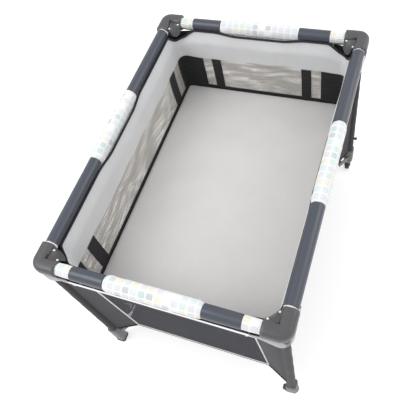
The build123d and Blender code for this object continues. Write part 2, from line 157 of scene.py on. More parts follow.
@dataclass(frozen=True)
class YardSizes:
    """The sizes that the fabric and the moulded corners share, in metres."""

    half_width: float = 0.367
    half_length: float = 0.520
    leg_x: float = 0.343
    leg_y: float = 0.496
    rail_x: float = 0.347
    rail_y: float = 0.500
    rail_z: float = 0.712
    arm_length: float = 0.075
    short_latch_pivot: float = 0.028
    long_latch_pivot: float = 0.05744
    pad_half: float = 0.140
    pad_radius: float = 0.026
    sleeve_radius: float = 0.0198
    sleeve_wall: float = 0.002
    short_sleeve_end: float = 0.245
    long_sleeve_end: float = 0.435
    lining_half_x: float = 0.312
    lining_half_y: float = 0.462
    lining_bottom: float = 0.440
    net_top: float = 0.585
    hem_height: float = 0.095
    hem_inset: float = 0.065
    cover_top_inset: float = 0.030
    cover_top: float = 0.684

    def rail_distance(self, short: bool) -> float:
        """How far a rail's axis is from the middle of the yard.

        Args:
            short: Whether the rail is on a short side.

        Returns:
            The distance in metres.
        """
        return self.rail_y if short else self.rail_x

    def arm_end(self, short: bool) -> float:
        """How far from a side's middle the corners' arms end.

        Args:
            short: Whether the side is a short one.

        Returns:
            The distance in metres.
        """
        return (self.half_width if short else self.half_length) - self.arm_length

    def sleeve_end(self, short: bool) -> float:
        """How far from a rail's middle its sleeves end.

        Args:
            short: Whether the rail is on a short side.

        Returns:
            The distance in metres.
        """
        return self.short_sleeve_end if short else self.long_sleeve_end


SIZES = YardSizes()


# ---------------------------------------------------------------- meshes


def smoothstep(low: float, high: float, value: Array | float) -> Array:
    """A smooth rise from 0 at low to 1 at high.

    Args:
        low: Where the rise starts.
        high: Where it ends.
        value: The values to map.

    Returns:
        The mapped values.
    """
    t = np.clip((np.asarray(value, float) - low) / (high - low), 0.0, 1.0)
    return t * t * (3.0 - 2.0 * t)


def ripple(u: Array, v: Array, waves: int, seed: int, shortest: float, longest: float) -> Array:
    """Soft irregular waves over a surface, between -1 and 1.

    Args:
        u: First surface coordinate in metres.
        v: Second surface coordinate in metres.
        waves: How many waves are summed.
        seed: Which set of waves.
        shortest: The shortest wavelength in metres.
        longest: The longest wavelength in metres.

    Returns:
        The height at each point.
    """
    random = np.random.default_rng(seed)
    total = np.zeros(np.broadcast(u, v).shape)
    for _ in range(waves):
        heading = random.uniform(0.0, math.pi)
        wavelength = random.uniform(shortest, longest)
        phase = random.uniform(0.0, 2.0 * math.pi)
        total += np.sin(2.0 * math.pi * (u * math.cos(heading) + v * math.sin(heading)) / wavelength + phase)
    return total / waves


def circle(count: int, radius: float = 1.0) -> Array:
    """Points round a circle.

    Args:
        count: How many points.
        radius: The circle's radius.

    Returns:
        The points, count by 2.
    """
    angle = np.linspace(0.0, 2.0 * math.pi, count, endpoint=False)
    return radius * np.stack([np.cos(angle), np.sin(angle)], axis=1)


def corner_bend(x: float, y: float, radius: float, count: int) -> Array:
    """Points round a rounded corner of the +X +Y quadrant, from its +Y face to its +X face.

    Args:
        x: Where the +X face is.
        y: Where the +Y face is.
        radius: The corner's radius.
        count: How many points.

    Returns:
        The points, count by 2.
    """
    turn = np.linspace(math.pi / 2.0, 0.0, count)
    return np.stack([x - radius + radius * np.cos(turn), y - radius + radius * np.sin(turn)], axis=1)


def lengths_along(path: Array) -> Array:
    """The length along a path at each of its points.

    Args:
        path: The points, one in each row.

    Returns:
        The lengths, from 0.
    """
    return np.concatenate([[0.0], np.cumsum(np.linalg.norm(np.diff(path, axis=0), axis=1))])


class MeshFactory:
    """Builds mesh objects from rows of points."""

    @staticmethod
    def from_faces(name: str, points: Array, faces: Faces, uvs: Array | None = None) -> Object:
        """A smooth mesh object.

        Args:
            name: The object's name.
            points: The vertices, n by 3.
            faces: Vertex indices of each face.
            uvs: A texture coordinate in metres for each vertex, n by 2.

        Returns:
            The object, linked to the scene.
        """
        mesh = bpy.data.meshes.new(name)
        mesh.from_pydata([tuple(p) for p in points.tolist()], [], faces)
        if uvs is not None:
            layer = mesh.uv_layers.new(name="Cloth")
            corners = np.zeros(len(mesh.loops), dtype=np.int32)
            mesh.loops.foreach_get("vertex_index", corners)
            layer.data.foreach_set("uv", uvs[corners].astype(np.float32).ravel())
        mesh.shade_smooth()
        mesh.validate()
        obj = bpy.data.objects.new(name, mesh)
        bpy.context.scene.collection.objects.link(obj)
        return obj

    @staticmethod
    def quads(rows: int, columns: int, closed: bool = False) -> Faces:
        """The faces between the points of a grid.

        Args:
            rows: How many rows it has.
            columns: How many columns it has.
            closed: Whether the last column joins the first.

        Returns:
            Vertex indices of each face.
        """
        faces = []
        for i in range(rows - 1):
            for j in range(columns if closed else columns - 1):
                k = (j + 1) % columns
                faces.append((i * columns + j, i * columns + k, (i + 1) * columns + k, (i + 1) * columns + j))
        return faces

    @classmethod
    def surface(cls, name: str, grid: Array, uvs: Array | None = None, closed: bool = False) -> Object:
        """An open sheet through a grid of points.

        Args:
            name: The object's name.
            grid: The points, rows by columns by 3.
            uvs: Texture coordinates in metres, rows by columns by 2.
            closed: Whether the last column joins the first.

        Returns:
            The object.
        """
        faces = cls.quads(*grid.shape[:2], closed)
        flat_uvs = None if uvs is None else uvs.reshape(-1, 2)
        return cls.from_faces(name, grid.reshape(-1, 3), faces, flat_uvs)

    @classmethod
    def sweep(cls, name: str, path: Array, sections: Array, closed: bool = False) -> Object:
        """A section carried along a path, upright to it, with its open ends filled.

        Args:
            name: The object's name.
            path: The points of the path, n by 3.
            sections: The section as offsets sideways and upwards, m by 2, or one for each point, n by m by 2.
            closed: Whether the path is a loop.

        Returns:
            The object.
        """
        ahead = np.roll(path, -1, axis=0) - np.roll(path, 1, axis=0)
        if not closed:
            ahead[0] = path[1] - path[0]
            ahead[-1] = path[-1] - path[-2]
        ahead /= np.linalg.norm(ahead, axis=1)[:, None]
        steep = np.abs(ahead[:, 2]) > 0.95
        reference = np.where(steep[:, None], np.array([1.0, 0.0, 0.0]), np.array([0.0, 0.0, 1.0]))
        side = np.cross(ahead, reference)
        side /= np.linalg.norm(side, axis=1)[:, None]
        up = np.cross(side, ahead)
        lengths, rings, uvs = lengths_along(path), [], []
        for i, ring in enumerate(np.broadcast_to(sections, (len(path), *sections.shape[-2:]))):
            rings.append(path[i] + ring[:, :1] * side[i] + ring[:, 1:] * up[i])
            around = np.linalg.norm(np.diff(np.vstack([ring, ring[:1]]), axis=0), axis=1)
            uvs.append(np.stack([np.full(len(ring), lengths[i]), np.cumsum(around)], axis=1))
        grid = np.array(rings)
        count, sides = grid.shape[:2]
        faces = []
        for i in range(count if closed else count - 1):
            n = (i + 1) % count
            for j in range(sides):
                k = (j + 1) % sides
                faces.append((i * sides + j, n * sides + j, n * sides + k, i * sides + k))
        if not closed:
            faces.append(tuple(range(sides)))
            faces.append(tuple(reversed(range((count - 1) * sides, count * sides))))
        return cls.from_faces(name, grid.reshape(-1, 3), faces, np.array(uvs).reshape(-1, 2))

    @classmethod
    def cord(cls, name: str, path: Array, radius: float, closed: bool = False, sides: int = 10) -> Object:
        """A round welt or binding along a path.

        Args:
            name: The object's name.
            path: The points of the path, n by 3.
            radius: The welt's radius in metres.
            closed: Whether the path is a loop.
            sides: How many sides its section has.

        Returns:
            The object.
        """
        return cls.sweep(name, path, circle(sides, radius), closed)

    @staticmethod
    def joined(name: str, objects: list[Object]) -> Object:
        """Several objects as one, with their own material slots.

        Args:
            name: The joined object's name.
            objects: The objects, which the first one absorbs.

        Returns:
            The joined object.
        """
        for other in bpy.context.selected_objects:
            other.select_set(False)
        for obj in objects:
            obj.select_set(True)
        bpy.context.view_layer.objects.active = objects[0]
        bpy.ops.object.join()
        objects[0].name = name
        objects[0].data.name = name
        return objects[0]

    @staticmethod
    def face_outwards(obj: Object, weld: bool = False) -> None:
        """Makes the faces of closed forms point outwards.

        Args:
            obj: The object.
            weld: Whether vertices that share a place are merged first.
        """
        work = bmesh.new()
        work.from_mesh(obj.data)
        if weld:
            bmesh.ops.remove_doubles(work, verts=work.verts, dist=1e-6)
        bmesh.ops.recalc_face_normals(work, faces=work.faces)
        work.to_mesh(obj.data)
        work.free()


# ---------------------------------------------------------------- node graphs


class NodeGraph:
    """Adds nodes to a node tree and links them."""

    def __init__(self, tree: Tree) -> None:
        """Wraps a node tree.

        Args:
            tree: The tree to add to.
        """
        self.tree = tree

    def node(self, kind: str, inputs: Inputs | None = None, **settings: object) -> bpy.types.Node:
        """Adds a node.

        Args:
            kind: The node's type.
            inputs: A value or a socket to link for each named or numbered input.
            **settings: Attributes set on the node.

        Returns:
            The node.
        """
        made = self.tree.nodes.new(kind)
        for key, value in settings.items():
            setattr(made, key, value)
        for key, value in (inputs or {}).items():
            self.feed(made.inputs[key], value)
        return made

    def feed(self, socket: Socket, value: object) -> None:
        """Links or sets one input.

        Args:
            socket: The input.
            value: A socket to link, or a constant.
        """
        if isinstance(value, Socket):
            self.tree.links.new(value, socket)
        elif isinstance(value, tuple) and len(value) == 3 and socket.type == "RGBA":
            socket.default_value = (*value, 1.0)
        else:
            socket.default_value = value

    def math(self, operation: str, *values: object, clamp: bool = False) -> Socket:
        """Adds a maths node.

        Args:
            operation: Its operation.
            *values: Its inputs in order.
            clamp: Whether the result is kept between 0 and 1.

        Returns:
            The result.
        """
        made = self.node("ShaderNodeMath", dict(enumerate(values)), operation=operation, use_clamp=clamp)
        return made.outputs[0]

    def mix(self, factor: object, low: object, high: object, blend: str = "MIX") -> Socket:
        """Mixes two colours.

        Args:
            factor: The share of the second colour.
            low: The first colour.
            high: The second colour.
            blend: The blend type.

        Returns:
            The mixed colour.
        """
        made = self.node("ShaderNodeMix", data_type="RGBA", blend_type=blend)
        for name, value in (("Factor_Float", factor), ("A_Color", low), ("B_Color", high)):
            socket = next(s for s in made.inputs if s.identifier == name)
            self.feed(socket, value)
        return next(s for s in made.outputs if s.identifier == "Result_Color")

    def ramp(self, factor: Socket, low: float, high: float, start: float = 0.0, end: float = 1.0) -> Socket:
        """A clamped linear remapping.

        Args:
            factor: The value to remap.
            low: The value that gives start.
            high: The value that gives end.
            start: The result at low.
            end: The result at high.

        Returns:
            The remapped value.
        """
        made = self.node("ShaderNodeMapRange", {0: factor, 1: low, 2: high, 3: start, 4: end}, clamp=True)
        return made.outputs[0]


    def scaled(self, vector: object, factor: object) -> Socket:
        """A vector or colour times a number.

        Args:
            vector: The vector.
            factor: The number.

        Returns:
            The scaled vector.
        """
        return self.node("ShaderNodeVectorMath", {0: vector, "Scale": factor}, operation="SCALE").outputs[0]

    def noise(self, vector: Socket, scale: object, detail: float, distortion: float = 0.0) -> Socket:
        """Adds a noise texture.

        Args:
            vector: Its coordinate.
            scale: Its scale.
            detail: Its detail.
            distortion: Its distortion.

        Returns:
            The noise, between 0 and 1.
        """
        inputs = {"Vector": vector, "Scale": scale, "Detail": detail, "Distortion": distortion}
        return self.node("ShaderNodeTexNoise", inputs).outputs["Fac"]

    def bump(self, strength: float, depth: float, height: Socket, under: Socket | None = None) -> Socket:
        """Adds a bump.

        Args:
            strength: Its strength.
            depth: Its depth in metres.
            height: The height to follow.
            under: The normal that it is laid over.

        Returns:
            The bumped normal.
        """
        inputs: Inputs = {"Strength": strength, "Distance": depth, "Height": height}
        if under is not None:
            inputs["Normal"] = under
        return self.node("ShaderNodeBump", inputs).outputs["Normal"]

    def group(self, tree: Tree, inputs: Inputs) -> bpy.types.Node:
        """Places a shared effect.

        Args:
            tree: The effect's node group.
            inputs: A value or a socket to link for each named input.

        Returns:
            The group's node.
        """
        return self.node("ShaderNodeGroup", inputs, node_tree=tree)

    def principled(self, inputs: Inputs) -> Socket:
        """Adds the shader.

        Args:
            inputs: A value or a socket to link for each named input.

        Returns:
            The shader.
        """
        return self.node("ShaderNodeBsdfPrincipled", inputs).outputs[0]


class EffectGroups:
    """The shader node groups that the finishes share. Each is built once."""

    @staticmethod
    def begin(
        name: str, inputs: dict[str, tuple[str, object]], outputs: dict[str, str]
    ) -> tuple[NodeGraph, bpy.types.Node, bpy.types.Node]:
        """Makes a group with named sockets.

        Args:
            name: The group's name.
            inputs: The socket type and default for each input.
            outputs: The socket type for each output.

        Returns:
            The graph, its input node and its output node.
        """
        tree = bpy.data.node_groups.new(name, "ShaderNodeTree")
        for label, (kind, default) in inputs.items():
            socket = tree.interface.new_socket(name=label, in_out="INPUT", socket_type=kind)
            if default is not None:
                socket.default_value = default
        for label, kind in outputs.items():
            tree.interface.new_socket(name=label, in_out="OUTPUT", socket_type=kind)
        graph = NodeGraph(tree)
        return graph, graph.node("NodeGroupInput"), graph.node("NodeGroupOutput")

    @staticmethod
    @cache
    def weave() -> Tree:
        """A plain weave: the height of its crossing threads, and a slight difference between threads.

        Returns:
            The group.
        """
        g, given, result = EffectGroups.begin(
            "Weave",
            {"Vector": ("NodeSocketVector", None), "Threads per Metre": ("NodeSocketFloat", 900.0)},
            {"Height": "NodeSocketFloat", "Thread Tone": "NodeSocketFloat"},
        )
        split = g.node("ShaderNodeSeparateXYZ", {0: given.outputs["Vector"]})
        pitch = g.math("MULTIPLY", given.outputs["Threads per Metre"], math.pi)
        across = g.math("SINE", g.math("MULTIPLY", split.outputs["X"], pitch))
        along = g.math("SINE", g.math("MULTIPLY", split.outputs["Y"], pitch))
        over = g.math("MULTIPLY", across, along)
        g.feed(result.inputs["Height"], g.ramp(over, -1.0, 1.0))
        inputs = {0: given.outputs["Vector"], 1: (40.0, 700.0, 40.0)}
        drawn_out = g.node("ShaderNodeVectorMath", inputs, operation="MULTIPLY")
        g.feed(result.inputs["Thread Tone"], g.ramp(g.noise(drawn_out.outputs[0], 1.0, 2.0), 0.3, 0.7))
        return g.tree

    @staticmethod
    @cache
    def variation() -> Tree:
        """Broad and fine unevenness of tone, around 1.

        Returns:
            The group.
        """
        g, given, result = EffectGroups.begin(
            "Variation",
            {
                "Vector": ("NodeSocketVector", None),
                "Patch Size": ("NodeSocketFloat", 0.12),
                "Amount": ("NodeSocketFloat", 0.08),
            },
            {"Tone": "NodeSocketFloat", "Mask": "NodeSocketFloat"},
        )
        scale = g.math("DIVIDE", 1.0, given.outputs["Patch Size"])
        broad = g.noise(given.outputs["Vector"], scale, 3.0)
        fine = g.noise(given.outputs["Vector"], g.math("MULTIPLY", scale, 11.0), 2.0)
        both = g.math("ADD", g.math("MULTIPLY", broad, 0.7), g.math("MULTIPLY", fine, 0.3))
        centred = g.math("SUBTRACT", both, 0.5)
        swing = g.math("MULTIPLY", g.math("MULTIPLY", centred, 4.0), given.outputs["Amount"])
        g.feed(result.inputs["Tone"], g.math("ADD", 1.0, swing))
        g.feed(result.inputs["Mask"], g.ramp(both, 0.4, 0.62))
        return g.tree

    @staticmethod
    @cache
    def edge_wear() -> Tree:
        """Where raised edges are rubbed paler and smoother.

        Returns:
            The group.
        """
        g, given, result = EffectGroups.begin(
            "Edge Wear",
            {"Vector": ("NodeSocketVector", None), "Strength": ("NodeSocketFloat", 0.5)},
            {"Mask": "NodeSocketFloat"},
        )
        shape = g.node("ShaderNodeNewGeometry")
        raised = g.ramp(shape.outputs["Pointiness"], 0.51, 0.58)
        patches = g.ramp(g.noise(given.outputs["Vector"], 160.0, 4.0), 0.42, 0.6)
        rubbed = g.math("MULTIPLY", raised, patches)
        g.feed(result.inputs["Mask"], g.math("MULTIPLY", rubbed, given.outputs["Strength"], clamp=True))
        return g.tree

    @staticmethod
    @cache
    def dust() -> Tree:
        """Fine dust on surfaces that face upwards.

        Returns:
            The group.
        """
        g, given, result = EffectGroups.begin(
            "Dust",
            {"Vector": ("NodeSocketVector", None), "Amount": ("NodeSocketFloat", 0.1)},
            {"Mask": "NodeSocketFloat"},
        )
        shape = g.node("ShaderNodeNewGeometry")
        facing = g.node("ShaderNodeSeparateXYZ", {0: shape.outputs["Normal"]})
        up = g.ramp(facing.outputs["Z"], 0.2, 1.0)
        settled = g.math("MULTIPLY", up, g.ramp(g.noise(given.outputs["Vector"], 90.0, 5.0), 0.45, 0.7))
        g.feed(result.inputs["Mask"], g.math("MULTIPLY", settled, given.outputs["Amount"], clamp=True))
        return g.tree

    @staticmethod
    @cache
    def grain() -> Tree:
        """The fine moulded grain of plastic and paint.

        Returns:
            The group.
        """
        g, given, result = EffectGroups.begin(
            "Grain",
            {"Vector": ("NodeSocketVector", None), "Grain Size": ("NodeSocketFloat", 0.0015)},
            {"Height": "NodeSocketFloat"},
        )
        scale = g.math("DIVIDE", 1.0, given.outputs["Grain Size"])
        inputs = {"Vector": given.outputs["Vector"], "Scale": scale}
        cells = g.node("ShaderNodeTexVoronoi", inputs, feature="SMOOTH_F1")
        g.feed(result.inputs["Height"], cells.outputs["Distance"])
        return g.tree

    @staticmethod
    @cache
    def print_squares() -> Tree:
        """A print of rounded pastel squares in rows on white.

        Returns:
            The group.
        """
        g, given, result = EffectGroups.begin(
            "Print Squares",
            {"Vector": ("NodeSocketVector", None), "Cell": ("NodeSocketFloat", 0.019)},
            {"Ink": "NodeSocketColor", "Mask": "NodeSocketFloat"},
        )
        inverse = g.math("DIVIDE", 1.0, given.outputs["Cell"])
        cells = g.scaled(given.outputs["Vector"], inverse)
        corner = g.node("ShaderNodeVectorMath", {0: cells}, operation="FLOOR").outputs[0]
        inside = g.node("ShaderNodeVectorMath", {0: cells, 1: corner}, operation="SUBTRACT").outputs[0]
        split = g.node("ShaderNodeSeparateXYZ", {0: inside})
        away = []
        for output in split.outputs[:2]:
            doubled = g.math("MULTIPLY", g.math("SUBTRACT", output, 0.5), 2.0)
            away.append(g.math("POWER", g.math("ABSOLUTE", doubled), 4.0))
        shape = g.math("ADD", *away)
        chance = g.node("ShaderNodeTexWhiteNoise", {"Vector": corner}, noise_dimensions="2D")
        palette = g.node("ShaderNodeValToRGB", {0: chance.outputs["Value"]})
        palette.color_ramp.interpolation = "CONSTANT"
        inks: list[tuple[float, Colour]] = [
            (0.0, (0.46, 0.62, 0.56)),
            (0.16, (0.55, 0.55, 0.60)),
            (0.36, (0.60, 0.58, 0.66)),
            (0.50, (0.70, 0.64, 0.44)),
            (0.62, (0.50, 0.60, 0.63)),
            (0.76, (0.30, 0.47, 0.47)),
            (0.83, (0.74, 0.74, 0.72)),
            (0.95, (0.33, 0.35, 0.42)),
        ]
        stops = palette.color_ramp.elements
        while len(stops) < len(inks):
            stops.new(0.5)
        for stop, (position, ink) in zip(stops, inks):
            stop.position = position
            stop.color = (*ink, 1.0)
        g.feed(result.inputs["Ink"], palette.outputs["Color"])
        g.feed(result.inputs["Mask"], g.ramp(shape, 0.60, 0.30))
        return g.tree

    @staticmethod
    @cache
    def net() -> Tree:
        """Knitted netting: where its threads are.

        Returns:
            The group.
        """
        g, given, result = EffectGroups.begin(
            "Net",
            {
                "Vector": ("NodeSocketVector", None),
                "Hole Pitch": ("NodeSocketFloat", 0.003),
                "Thread Share": ("NodeSocketFloat", 0.4),
            },
            {"Thread": "NodeSocketFloat"},
        )
        split = g.node("ShaderNodeSeparateXYZ", {0: given.outputs["Vector"]})
        turn = g.math("DIVIDE", 2.0 * math.pi, given.outputs["Hole Pitch"])
        diagonals = [g.math(kind, split.outputs["X"], split.outputs["Y"]) for kind in ("ADD", "SUBTRACT")]
        waves = [g.math("COSINE", g.math("MULTIPLY", diagonal, turn)) for diagonal in diagonals]
        level = g.ramp(g.math("ADD", *waves), -2.0, 2.0)
        past_edge = g.math("SUBTRACT", level, g.math("MULTIPLY", given.outputs["Thread Share"], 0.9))
        g.feed(result.inputs["Thread"], g.ramp(past_edge, 0.05, -0.05))
        return g.tree


# ---------------------------------------------------------------- finishes


@dataclass(frozen=True)
class Finish:
    """A surface finish with a procedural material."""

    name: str
    colour: Colour
    roughness: float = 0.6

    def material(self) -> bpy.types.Material:
        """Gives the finish's material, built the first time.

        Returns:
            The material.
        """
        existing = bpy.data.materials.get(self.name)
        if existing is not None:
            return existing
        made = bpy.data.materials.new(self.name)
        made.use_nodes = True
        made.diffuse_color = (*self.colour, 1.0)
        made.node_tree.nodes.clear()
        graph = NodeGraph(made.node_tree)
        output = graph.node("ShaderNodeOutputMaterial")
        graph.feed(output.inputs["Surface"], self.surface(graph))
        return made

    def surface(self, graph: NodeGraph) -> Socket:
        """Builds the finish's shader.

        Args:
            graph: The material's node graph.

        Returns:
            The shader.
        """
        raise NotImplementedError

    def varied(self, graph: NodeGraph, vector: Socket, patch: float, amount: float) -> tuple[Socket, Socket]:
        """The finish's colour with uneven tone.

        Args:
            graph: The material's node graph.
            vector: The texture coordinate.
            patch: The size of a patch in metres.
            amount: How strong the unevenness is.

        Returns:
            The colour and the patches' mask.
        """
        inputs = {"Vector": vector, "Patch Size": patch, "Amount": amount}
        uneven = graph.group(EffectGroups.variation(), inputs)
        return graph.scaled(self.colour, uneven.outputs["Tone"]), uneven.outputs["Mask"]


@dataclass(frozen=True)
class Plastic(Finish):
    """Moulded plastic with a fine grain, rubbed edges and a little dust."""

    grain: float = 0.0009
    grain_depth: float = 0.000012
    wear: float = 0.3
    dust: float = 0.02
    coat: float = 0.0
    mottling: float = 0.03

    def surface(self, graph: NodeGraph) -> Socket:
        """Builds the plastic's shader.

        Args:
            graph: The material's node graph.

        Returns:
            The shader.
        """
        place = graph.node("ShaderNodeTexCoord").outputs["Object"]
        colour, patches = self.varied(graph, place, 0.08, self.mottling)
        wear = graph.group(EffectGroups.edge_wear(), {"Vector": place, "Strength": self.wear})
        dust = graph.group(EffectGroups.dust(), {"Vector": place, "Amount": self.dust})
        grain = graph.group(EffectGroups.grain(), {"Vector": place, "Grain Size": self.grain})
        paler = tuple(min(1.0, 0.08 + 1.9 * c) for c in self.colour)
        rubbed = graph.mix(wear.outputs["Mask"], colour, paler)
        dusty = graph.mix(dust.outputs["Mask"], rubbed, (0.42, 0.41, 0.40))
        rough = graph.math("ADD", self.roughness, graph.math("MULTIPLY", patches, 0.08))
        return graph.principled(
            {
                "Base Color": dusty,
                "Roughness": rough,
                "Coat Weight": self.coat,
                "Coat Roughness": 0.25,
                "Normal": graph.bump(0.35, self.grain_depth, grain.outputs["Height"]),
            }
        )


@dataclass(frozen=True)
class Metal(Finish):
    """Steel, bare or painted, with drawing marks along it."""

    metallic: float = 1.0
    wear: float = 0.4
    mark_depth: float = 0.00003
    mark_scale: tuple[float, float, float] = (900.0, 900.0, 60.0)

    def surface(self, graph: NodeGraph) -> Socket:
        """Builds the metal's shader.

        Args:
            graph: The material's node graph.

        Returns:
            The shader.
        """
        place = graph.node("ShaderNodeTexCoord").outputs["Object"]
        colour, patches = self.varied(graph, place, 0.04, 0.06)
        wear = graph.group(EffectGroups.edge_wear(), {"Vector": place, "Strength": self.wear})
        rubbed = graph.mix(wear.outputs["Mask"], colour, (0.55, 0.55, 0.56))
        stretched = graph.node("ShaderNodeVectorMath", {0: place, 1: self.mark_scale}, operation="MULTIPLY")
        marks = graph.bump(0.2, self.mark_depth, graph.noise(stretched.outputs[0], 1.0, 2.0))
        rough = graph.math("ADD", self.roughness, graph.math("MULTIPLY", patches, 0.12))
        return graph.principled(
            {"Base Color": rubbed, "Metallic": self.metallic, "Roughness": rough, "Normal": marks}
        )


@dataclass(frozen=True)
class Cloth(Finish):
    """Woven fabric: crossing threads, soft creases, sheen and uneven tone."""

    threads: float = 900.0
    weave_depth: float = 0.00012
    sheen: float = 0.25
    crease: float = 0.0006
    crease_size: float = 0.03
    mottling: float = 0.05
    glow: float = 0.0

    def ink(self, graph: NodeGraph, cloth: Socket, ground: Socket) -> Socket:
        """The colour printed over the ground colour.

        Args:
            graph: The material's node graph.
            cloth: The cloth's own coordinate in metres.
            ground: The ground colour.

        Returns:
            The colour.
        """
        return ground

    def surface(self, graph: NodeGraph) -> Socket:
        """Builds the cloth's shader.

        Args:
            graph: The material's node graph.

        Returns:
            The shader.
        """
        coordinate = graph.node("ShaderNodeTexCoord")
        place, cloth = coordinate.outputs["Object"], coordinate.outputs["UV"]
        colour, patches = self.varied(graph, place, 0.09, self.mottling)
        weave = graph.group(EffectGroups.weave(), {"Vector": cloth, "Threads per Metre": self.threads})
        printed = self.ink(graph, cloth, colour)
        tone = graph.math("MULTIPLY", weave.outputs["Thread Tone"], 0.5)
        threaded = graph.mix(tone, printed, graph.scaled(printed, 0.93))
        creases = graph.bump(0.5, self.crease, graph.noise(place, 1.0 / self.crease_size, 3.0, 0.6))
        return graph.principled(
            {
                "Base Color": threaded,
                "Roughness": graph.math("ADD", self.roughness, graph.math("MULTIPLY", patches, 0.06)),
                "Specular IOR Level": 0.25,
                "Sheen Weight": self.sheen,
                "Sheen Roughness": 0.45,
                "Emission Color": threaded,
                "Emission Strength": self.glow,
                "Normal": graph.bump(0.4, self.weave_depth, weave.outputs["Height"], creases),
            }
        )


@dataclass(frozen=True)
class PrintedCloth(Cloth):
    """White cloth printed with rows of rounded pastel squares."""

    cell: float = 0.023
    strength: float = 0.55

    def ink(self, graph: NodeGraph, cloth: Socket, ground: Socket) -> Socket:
        """The printed colour.

        Args:
            graph: The material's node graph.
            cloth: The cloth's own coordinate in metres.
            ground: The ground colour.

        Returns:
            The colour.
        """
        squares = graph.group(EffectGroups.print_squares(), {"Vector": cloth, "Cell": self.cell})
        covered = graph.math("MULTIPLY", squares.outputs["Mask"], self.strength)
        return graph.mix(covered, ground, squares.outputs["Ink"])


@dataclass(frozen=True)
class Netting(Finish):
    """Dark knitted netting that lets light through between its threads."""

    pitch: float = 0.0032
    thread_share: float = 0.4
    thread_depth: float = 0.0003

    def surface(self, graph: NodeGraph) -> Socket:
        """Builds the netting's shader.

        Args:
            graph: The material's node graph.

        Returns:
            The shader.
        """
        coordinate = graph.node("ShaderNodeTexCoord")
        colour, patches = self.varied(graph, coordinate.outputs["Object"], 0.05, 0.12)
        cloth = coordinate.outputs["UV"]
        inputs = {"Vector": cloth, "Hole Pitch": self.pitch, "Thread Share": self.thread_share}
        thread = graph.group(EffectGroups.net(), inputs).outputs["Thread"]
        return graph.principled(
            {
                "Base Color": colour,
                "Roughness": graph.math("ADD", self.roughness, graph.math("MULTIPLY", patches, 0.08)),
                "Specular IOR Level": 0.2,
                "Sheen Weight": 0.05,
                "Alpha": thread,
                "Normal": graph.bump(0.5, self.thread_depth, thread),
            }
        )


@dataclass(frozen=True)
class StudioPaper(Finish):
    """Plain studio paper: white to the camera, keeping the object's shadow."""

    glow: float = 0.55

    def surface(self, graph: NodeGraph) -> Socket:
        """Builds the paper's shader.

        Args:
            graph: The material's node graph.

        Returns:
            The shader.
        """
        return graph.principled(
            {
                "Base Color": self.colour,
                "Roughness": self.roughness,
                "Specular IOR Level": 0.0,
                "Emission Color": (1.0, 1.0, 1.0),
                "Emission Strength": self.glow,
            }
        )


class Finishes:
    """Every finish of the yard."""

    casting = Plastic("Casting Plastic", (0.060, 0.060, 0.066), 0.40, coat=0.12, mottling=0.015)
    sleeve = Plastic(
        "Sleeve Vinyl", (0.044, 0.051, 0.071), 0.36, wear=0.0, dust=0.0, coat=0.2, mottling=0.012
    )
    block = Plastic("Foot Plastic", (0.13, 0.13, 0.135), 0.5)
    caster = Plastic("Caster Plastic", (0.27, 0.27, 0.275), 0.4)
    tyre = Plastic("Wheel Plastic", (0.035, 0.035, 0.037), 0.5)
    latch = Plastic("Latch Plastic", (0.04, 0.04, 0.042), 0.5)
    button = Plastic("Button Plastic", (0.30, 0.30, 0.31), 0.45)
    rubber = Plastic("Foot Rubber", (0.022, 0.022, 0.023), 0.8, grain=0.0009, wear=0.15)
    painted = Metal("Painted Steel", (0.05, 0.05, 0.055), 0.4, metallic=0.3)
    steel = Metal("Drawn Steel", (0.56, 0.56, 0.57), 0.32)
    rivet = Metal("Rivet Steel", (0.92, 0.92, 0.93), 0.30)
    lining = Cloth("Lining Polyester", (0.62, 0.625, 0.635), 0.8)
    mattress = Cloth("Mattress Cloth", (0.605, 0.598, 0.592), 0.85, mottling=0.035, crease_size=0.06)
    charcoal = Cloth(
        "Charcoal Oxford", (0.048, 0.045, 0.050), 0.85, threads=650.0, weave_depth=0.0002, sheen=0.08
    )
    strip = Cloth("Black Strip", (0.018, 0.017, 0.018), 0.75, sheen=0.1)
    binding = Cloth("Black Binding", (0.022, 0.022, 0.026), 0.7, threads=1500.0, sheen=0.1)
    collar = Cloth("Grey Collar", (0.36, 0.34, 0.355), 0.75)
    piping = Cloth("White Piping", (0.80, 0.80, 0.80), 0.7, threads=1500.0)
    webbing = Cloth("Red Webbing", (0.30, 0.03, 0.035), 0.7, threads=500.0, weave_depth=0.0004)
    printed = PrintedCloth("Printed Cloth", (0.75, 0.755, 0.76), 0.8)
    inner_net = Netting("Inner Netting", (0.58, 0.555, 0.52), 0.85, thread_share=0.74)
    outer_net = Netting("Outer Netting", (0.034, 0.035, 0.045), 0.8, thread_share=0.80)
    paper = StudioPaper("Studio Paper", (0.60, 0.60, 0.60), 1.0)


def dressed(obj: Object, finish: Finish) -> Object:
    """Gives an object one finish.

    Args:
        obj: The object.
        finish: The finish.

    Returns:
        The object.
    """
    obj.data.materials.clear()
    obj.data.materials.append(finish.material())
    return obj


def report(obj: Object) -> None:
    """Logs a finished piece.

    Args:
        obj: The piece.
    """
    LOG.info("piece %s: %d faces", obj.name, len(obj.data.polygons))


# ---------------------------------------------------------------- moulded corners


